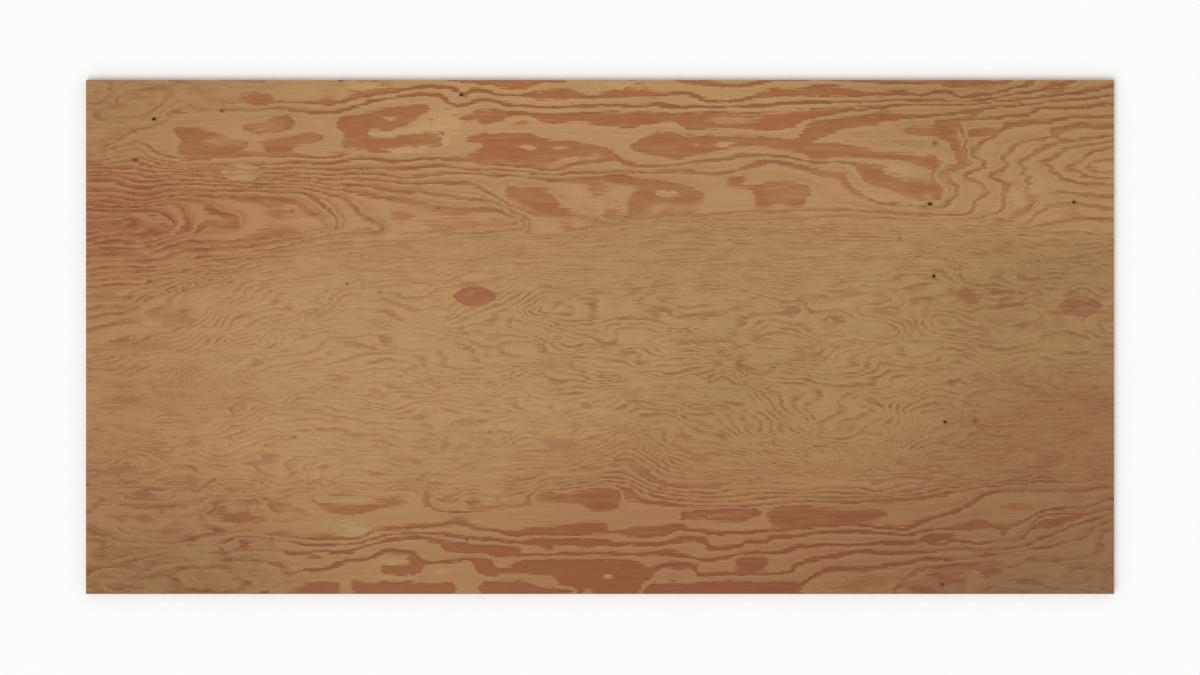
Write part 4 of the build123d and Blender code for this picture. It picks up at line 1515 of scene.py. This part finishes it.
def sanded_face():
    """Rotary-cut Douglas fir, sanded: pale soft earlywood, dense red-brown latewood, dull all over."""
    material, tree = new_material("sanded_douglas_fir_face")
    names = ("ring", "slope", "redness", "painted_shade_and_tone", "boldness", "waviness", "fineness", "glue_line")
    kept = {name: add(tree, "Attribute", attribute_name=name).outputs["Fac"] for name in names}
    # Swells of 26 by 5 mm along the fibres, patches of 90 by 12 mm, and the fibres themselves, drawn 0.7 mm
    # wide because their real 0.04 mm can't show
    ragged = along_grain(tree, 26, 5, 26, detail=3.0)
    mottle = along_grain(tree, 90, 12, 90, detail=3.0, offset=9.4)
    fibres = along_grain(tree, 14, 0.7, 14, detail=1.0, offset=12.4)
    rings = frayed_rings(tree, kept, ragged)
    late = bold_lines(tree, kept, rings)
    patchy = patchiness(tree, kept, mottle)
    weight = add(tree, "Math", (late, kept["boldness"]), operation="MULTIPLY")
    weight = add(tree, "Math", (weight, patchy), operation="MULTIPLY")
    fine = add(tree, "Math", (fine_lines(tree, kept, rings), patchy), operation="MULTIPLY")
    weight = add(tree, "Math", (weight, fine), operation="MAXIMUM")
    stain, pale = fleck_shares(tree, ragged)
    weight = add(tree, "Math", (weight, stain), operation="MAXIMUM")
    unbleached = add(tree, "Math", (1.0, pale), operation="SUBTRACT")
    weight = add(tree, "Math", (weight, unbleached), operation="MULTIPLY")
    wood = face_colour(tree, kept, weight, pale, mottle)
    # Streaks of tone along the grain, 240 by 7 mm and 60 by 2.4 mm
    streaks = along_grain(tree, 240, 7, 240, offset=3.1)
    streaks = add(tree, "MapRange", (streaks, 0.25, 0.75, 0.955, 1.04), **SMOOTH)
    fine_streaks = along_grain(tree, 60, 2.4, 60, offset=7.7)
    fine_streaks = add(tree, "MapRange", (fine_streaks, 0.25, 0.75, 0.94, 1.05), **SMOOTH)
    fibre_tone = add(tree, "MapRange", (fibres, 0.2, 0.8, 0.96, 1.03), **SMOOTH)
    # End grain drinks in dust and light, so it looks darker
    end_grain = add(tree, "MapRange", (facing(tree, 0), 0.3, 0.9, 1.0, 0.72), **SMOOTH)
    # Lightness darkens the face toward its corners and ends: painted shade, with some of the wood's own tone
    wood = shaded(tree, wood, streaks, fine_streaks, fibre_tone, kept["painted_shade_and_tone"], end_grain)
    wood = with_knots(tree, wood, ragged)
    # Dark glue squeezed out round the patches and sanded flush, 0.6 mm wide
    glue = add(tree, "MapRange", (kept["glue_line"], 0.55, 0.9, 0.0, 0.75), **SMOOTH)
    wood = add(tree, "Mix", {"Factor": glue, "A": wood, "B": "#6A4529"}, **COLOUR)
    # Dense latewood sands smoother than earlywood, and stands a little proud of it
    roughness = add(tree, "MapRange", (late, 0.0, 1.0, 0.62, 0.5), **SMOOTH)
    relief = add(tree, "Math", (late, fibres))
    relief = add(tree, "Math", (relief, saw_marks(tree)))
    dull_wood(tree, wood, roughness, relief, 0.08 * MM)
    return material


GLUE_THICKNESS = 0.25 * MM
# Figure of a ply: the length and width in millimetres of the swells that its rings follow, how many rings
# those and the smaller ripples in them rise, and the share of a ring at which the latewood starts
INNER_FIGURE = (320, 70, 7.0, 0.8, 0.45)
BACK_FIGURE = (1300, 170, 13.0, 0.35, 0.55)


def ply_rings(tree, height, across, pitch, offset, figure):
    """Latewood of a peeled ply, whose rings, of that pitch in millimetres through it, rise and dip."""
    length, width, swell_rise, ripple_rise, late_start = figure
    swells = along_grain(tree, length, width, length, offset=offset, across=across)
    swells = add(tree, "Math", (swells, swell_rise), operation="MULTIPLY")
    # Ripples of 45 by 9 mm
    ripples = along_grain(tree, 45, 9, 45, offset=offset + 4, across=across)
    ripples = add(tree, "Math", (ripples, ripple_rise), operation="MULTIPLY")
    rings = add(tree, "Math", (height, 1 / (pitch * MM), swells), operation="MULTIPLY_ADD")
    return latewood(tree, add(tree, "Math", (rings, ripples)), late_start, 0.85)


def glue_share(tree, node, height):
    """How much glue covers a ply: thin lines in the edges, and the glued faces that open pin knots show."""
    low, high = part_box(node)
    above = add(tree, "Math", (height, low[2]), operation="SUBTRACT")
    edge = add(tree, "Math", (high[2], height), operation="SUBTRACT")
    glued = add(tree, "MapRange", (facing(tree, 2), 0.3, 0.7), **SMOOTH)
    if low[2] > LOW[2] + MM:
        edge = add(tree, "Math", (above, edge), operation="MINIMUM")
    else:
        # The sheet's own underside has no glue
        upper = add(tree, "MapRange", (above, 0.4 * MM, 0.6 * MM), **SMOOTH)
        glued = add(tree, "Math", (glued, upper), operation="MULTIPLY")
    line = add(tree, "MapRange", (edge, 0.5 * GLUE_THICKNESS, GLUE_THICKNESS, 0.8, 0.0), **SMOOTH)
    return add(tree, "Math", (line, glued), operation="MAXIMUM")


def peeled_ply(name, node, across, early, late, pitch, offset, figure=INNER_FIGURE):
    """Inner or back veneer, as peeled: its rings lie nearly flat in it, and its glued faces are brown."""
    material, tree = new_material(name)
    height = add(tree, "SeparateXYZ", [add(tree, "TexCoord").outputs["Object"]]).outputs[2]
    growth = ply_rings(tree, height, across, pitch, offset, figure)
    wood = add(tree, "Mix", {"Factor": growth, "A": early, "B": late}, **COLOUR)
    # Streaks of tone along the grain, 300 by 12 mm, and fibres drawn 0.6 mm wide because their real 0.04 mm
    # can't show
    streaks = along_grain(tree, 300, 12, 300, offset=offset + 6, across=across)
    streaks = add(tree, "MapRange", (streaks, 0.25, 0.75, 0.93, 1.06), **SMOOTH)
    fibres = along_grain(tree, 18, 0.6, 0.6, offset=offset + 9, across=across)
    fibre_tone = add(tree, "MapRange", (fibres, 0.2, 0.8, 0.86, 1.08), **SMOOTH)
    end_grain = add(tree, "MapRange", (facing(tree, 1 if across else 0), 0.3, 0.9), **SMOOTH)
    end_tone = add(tree, "MapRange", (end_grain, 0.0, 1.0, 1.0, 0.72), **SMOOTH)
    wood = shaded(tree, wood, streaks, fibre_tone, end_tone)
    # Lathe checks: the knife opened cracks square to the veneer each few millimetres, seen in end grain
    checks = along_grain(tree, 400, 2.6, 14, detail=1.0, offset=offset + 13, across=across)
    checks = add(tree, "MapRange", (checks, 0.66, 0.72), **SMOOTH)
    checks = add(tree, "Math", (checks, end_grain), operation="MULTIPLY")
    # The cracks are painted darker brown, as painted shade inside them, and are also sunk in the relief below
    painted_crack_shade = add(tree, "Math", (checks, 0.6), operation="MULTIPLY")
    wood = add(tree, "Mix", {"Factor": painted_crack_shade, "A": wood, "B": "#4A3018"}, **COLOUR)
    wood = add(tree, "Mix", {"Factor": glue_share(tree, node, height), "A": wood, "B": "#3B2415"}, **COLOUR)
    relief = add(tree, "Math", (fibres, saw_marks(tree)))
    relief = add(tree, "Math", (relief, checks), operation="SUBTRACT")
    dull_wood(tree, wood, 0.75, relief, 0.15 * MM)
    return material


def sanded_patch(name, early, late, pitch, offset, smudge):
    """Boat patch of a plank-sawn offcut, sanded flush: its own straight grain along the cut-out."""
    material, tree = new_material(name)
    place = add(tree, "SeparateXYZ", [add(tree, "TexCoord").outputs["Object"]]).outputs[1]
    # Rings of that pitch in millimetres, which bend over 90 by 22 mm
    bend = along_grain(tree, 90, 22, 90, detail=1.0, offset=offset)
    bend = add(tree, "Math", (bend, 3.0), operation="MULTIPLY")
    rings = add(tree, "Math", (place, 1 / (pitch * MM), bend), operation="MULTIPLY_ADD")
    growth = latewood(tree, rings, 0.3, 0.85)
    wood = add(tree, "Mix", {"Factor": growth, "A": early, "B": late}, **COLOUR)
    # A smudge of darker heartwood or resin, about 40 by 15 mm
    stain = along_grain(tree, 40, 15, 40, detail=1.0, offset=offset + 8)
    stain = add(tree, "MapRange", (stain, 0.45, 0.7, 0.0, smudge), **SMOOTH)
    wood = add(tree, "Mix", {"Factor": stain, "A": wood, "B": late}, **COLOUR)
    # Fibres drawn 0.9 mm wide because their real 0.04 mm can't show
    fibres = along_grain(tree, 22, 0.9, 22, offset=offset + 5)
    wood = shaded(tree, wood, add(tree, "MapRange", (fibres, 0.2, 0.8, 0.93, 1.05), **SMOOTH))
    dull_wood(tree, wood, 0.55, add(tree, "Math", (growth, fibres)), 0.08 * MM)
    return material


def dress(node, material):
    """Gives a CAD node that material."""
    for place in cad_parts[node].material_slots:
        place.material = material


face = new_object("sanded_face", dress_face())
face.data.materials.append(sanded_face())
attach(face, "root")
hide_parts("face_veneer")

# Whether the grain runs across the sheet, colours of earlywood and latewood, pitch of the rings in
# millimetres, and where the ply's noises start
plies = {
    "crossband_upper_left": (True, "#B08C60", "#8F6239", 1.7, 0.0),
    "crossband_upper_right": (True, "#AA8459", "#8A5C36", 2.1, 3.7),
    "centre_ply": (False, "#B39066", "#94683F", 2.3, 6.1),
    "crossband_lower_left": (True, "#A8825A", "#875A35", 1.9, 9.4),
    "crossband_lower_right": (True, "#B18D61", "#90633B", 1.5, 12.8),
}
for node, look in plies.items():
    dress(node, peeled_ply("peeled_fir_" + node, node, *look))
dress("back_veneer", peeled_ply("unsanded_fir_back", "back_veneer", False, "#AD8A5B", "#916840", 1.3, 15.2,
                                BACK_FIGURE))

# Name of the wood, colours of earlywood and latewood, pitch of the rings in millimetres, where the patch's
# noises start, and how dark its smudge is
patches = {
    "patch_upper_left": ("sanded_pale_fir_patch_upper", "#B58D60", "#A1784E", 19.0, 2.2, 0.7),
    "patch_centre": ("sanded_red_fir_patch_centre", "#A46A47", "#985E3F", 14.0, 5.9, 0.3),
    "patch_right_end": ("sanded_red_fir_patch_right", "#9B6A46", "#8E5D3C", 30.0, 8.3, 0.5),
    "patch_lower_left": ("sanded_pale_fir_patch_lower", "#AB8B5F", "#A58257", 16.0, 11.7, 0.3),
}
for node, look in patches.items():
    dress(node, sanded_patch(*look))
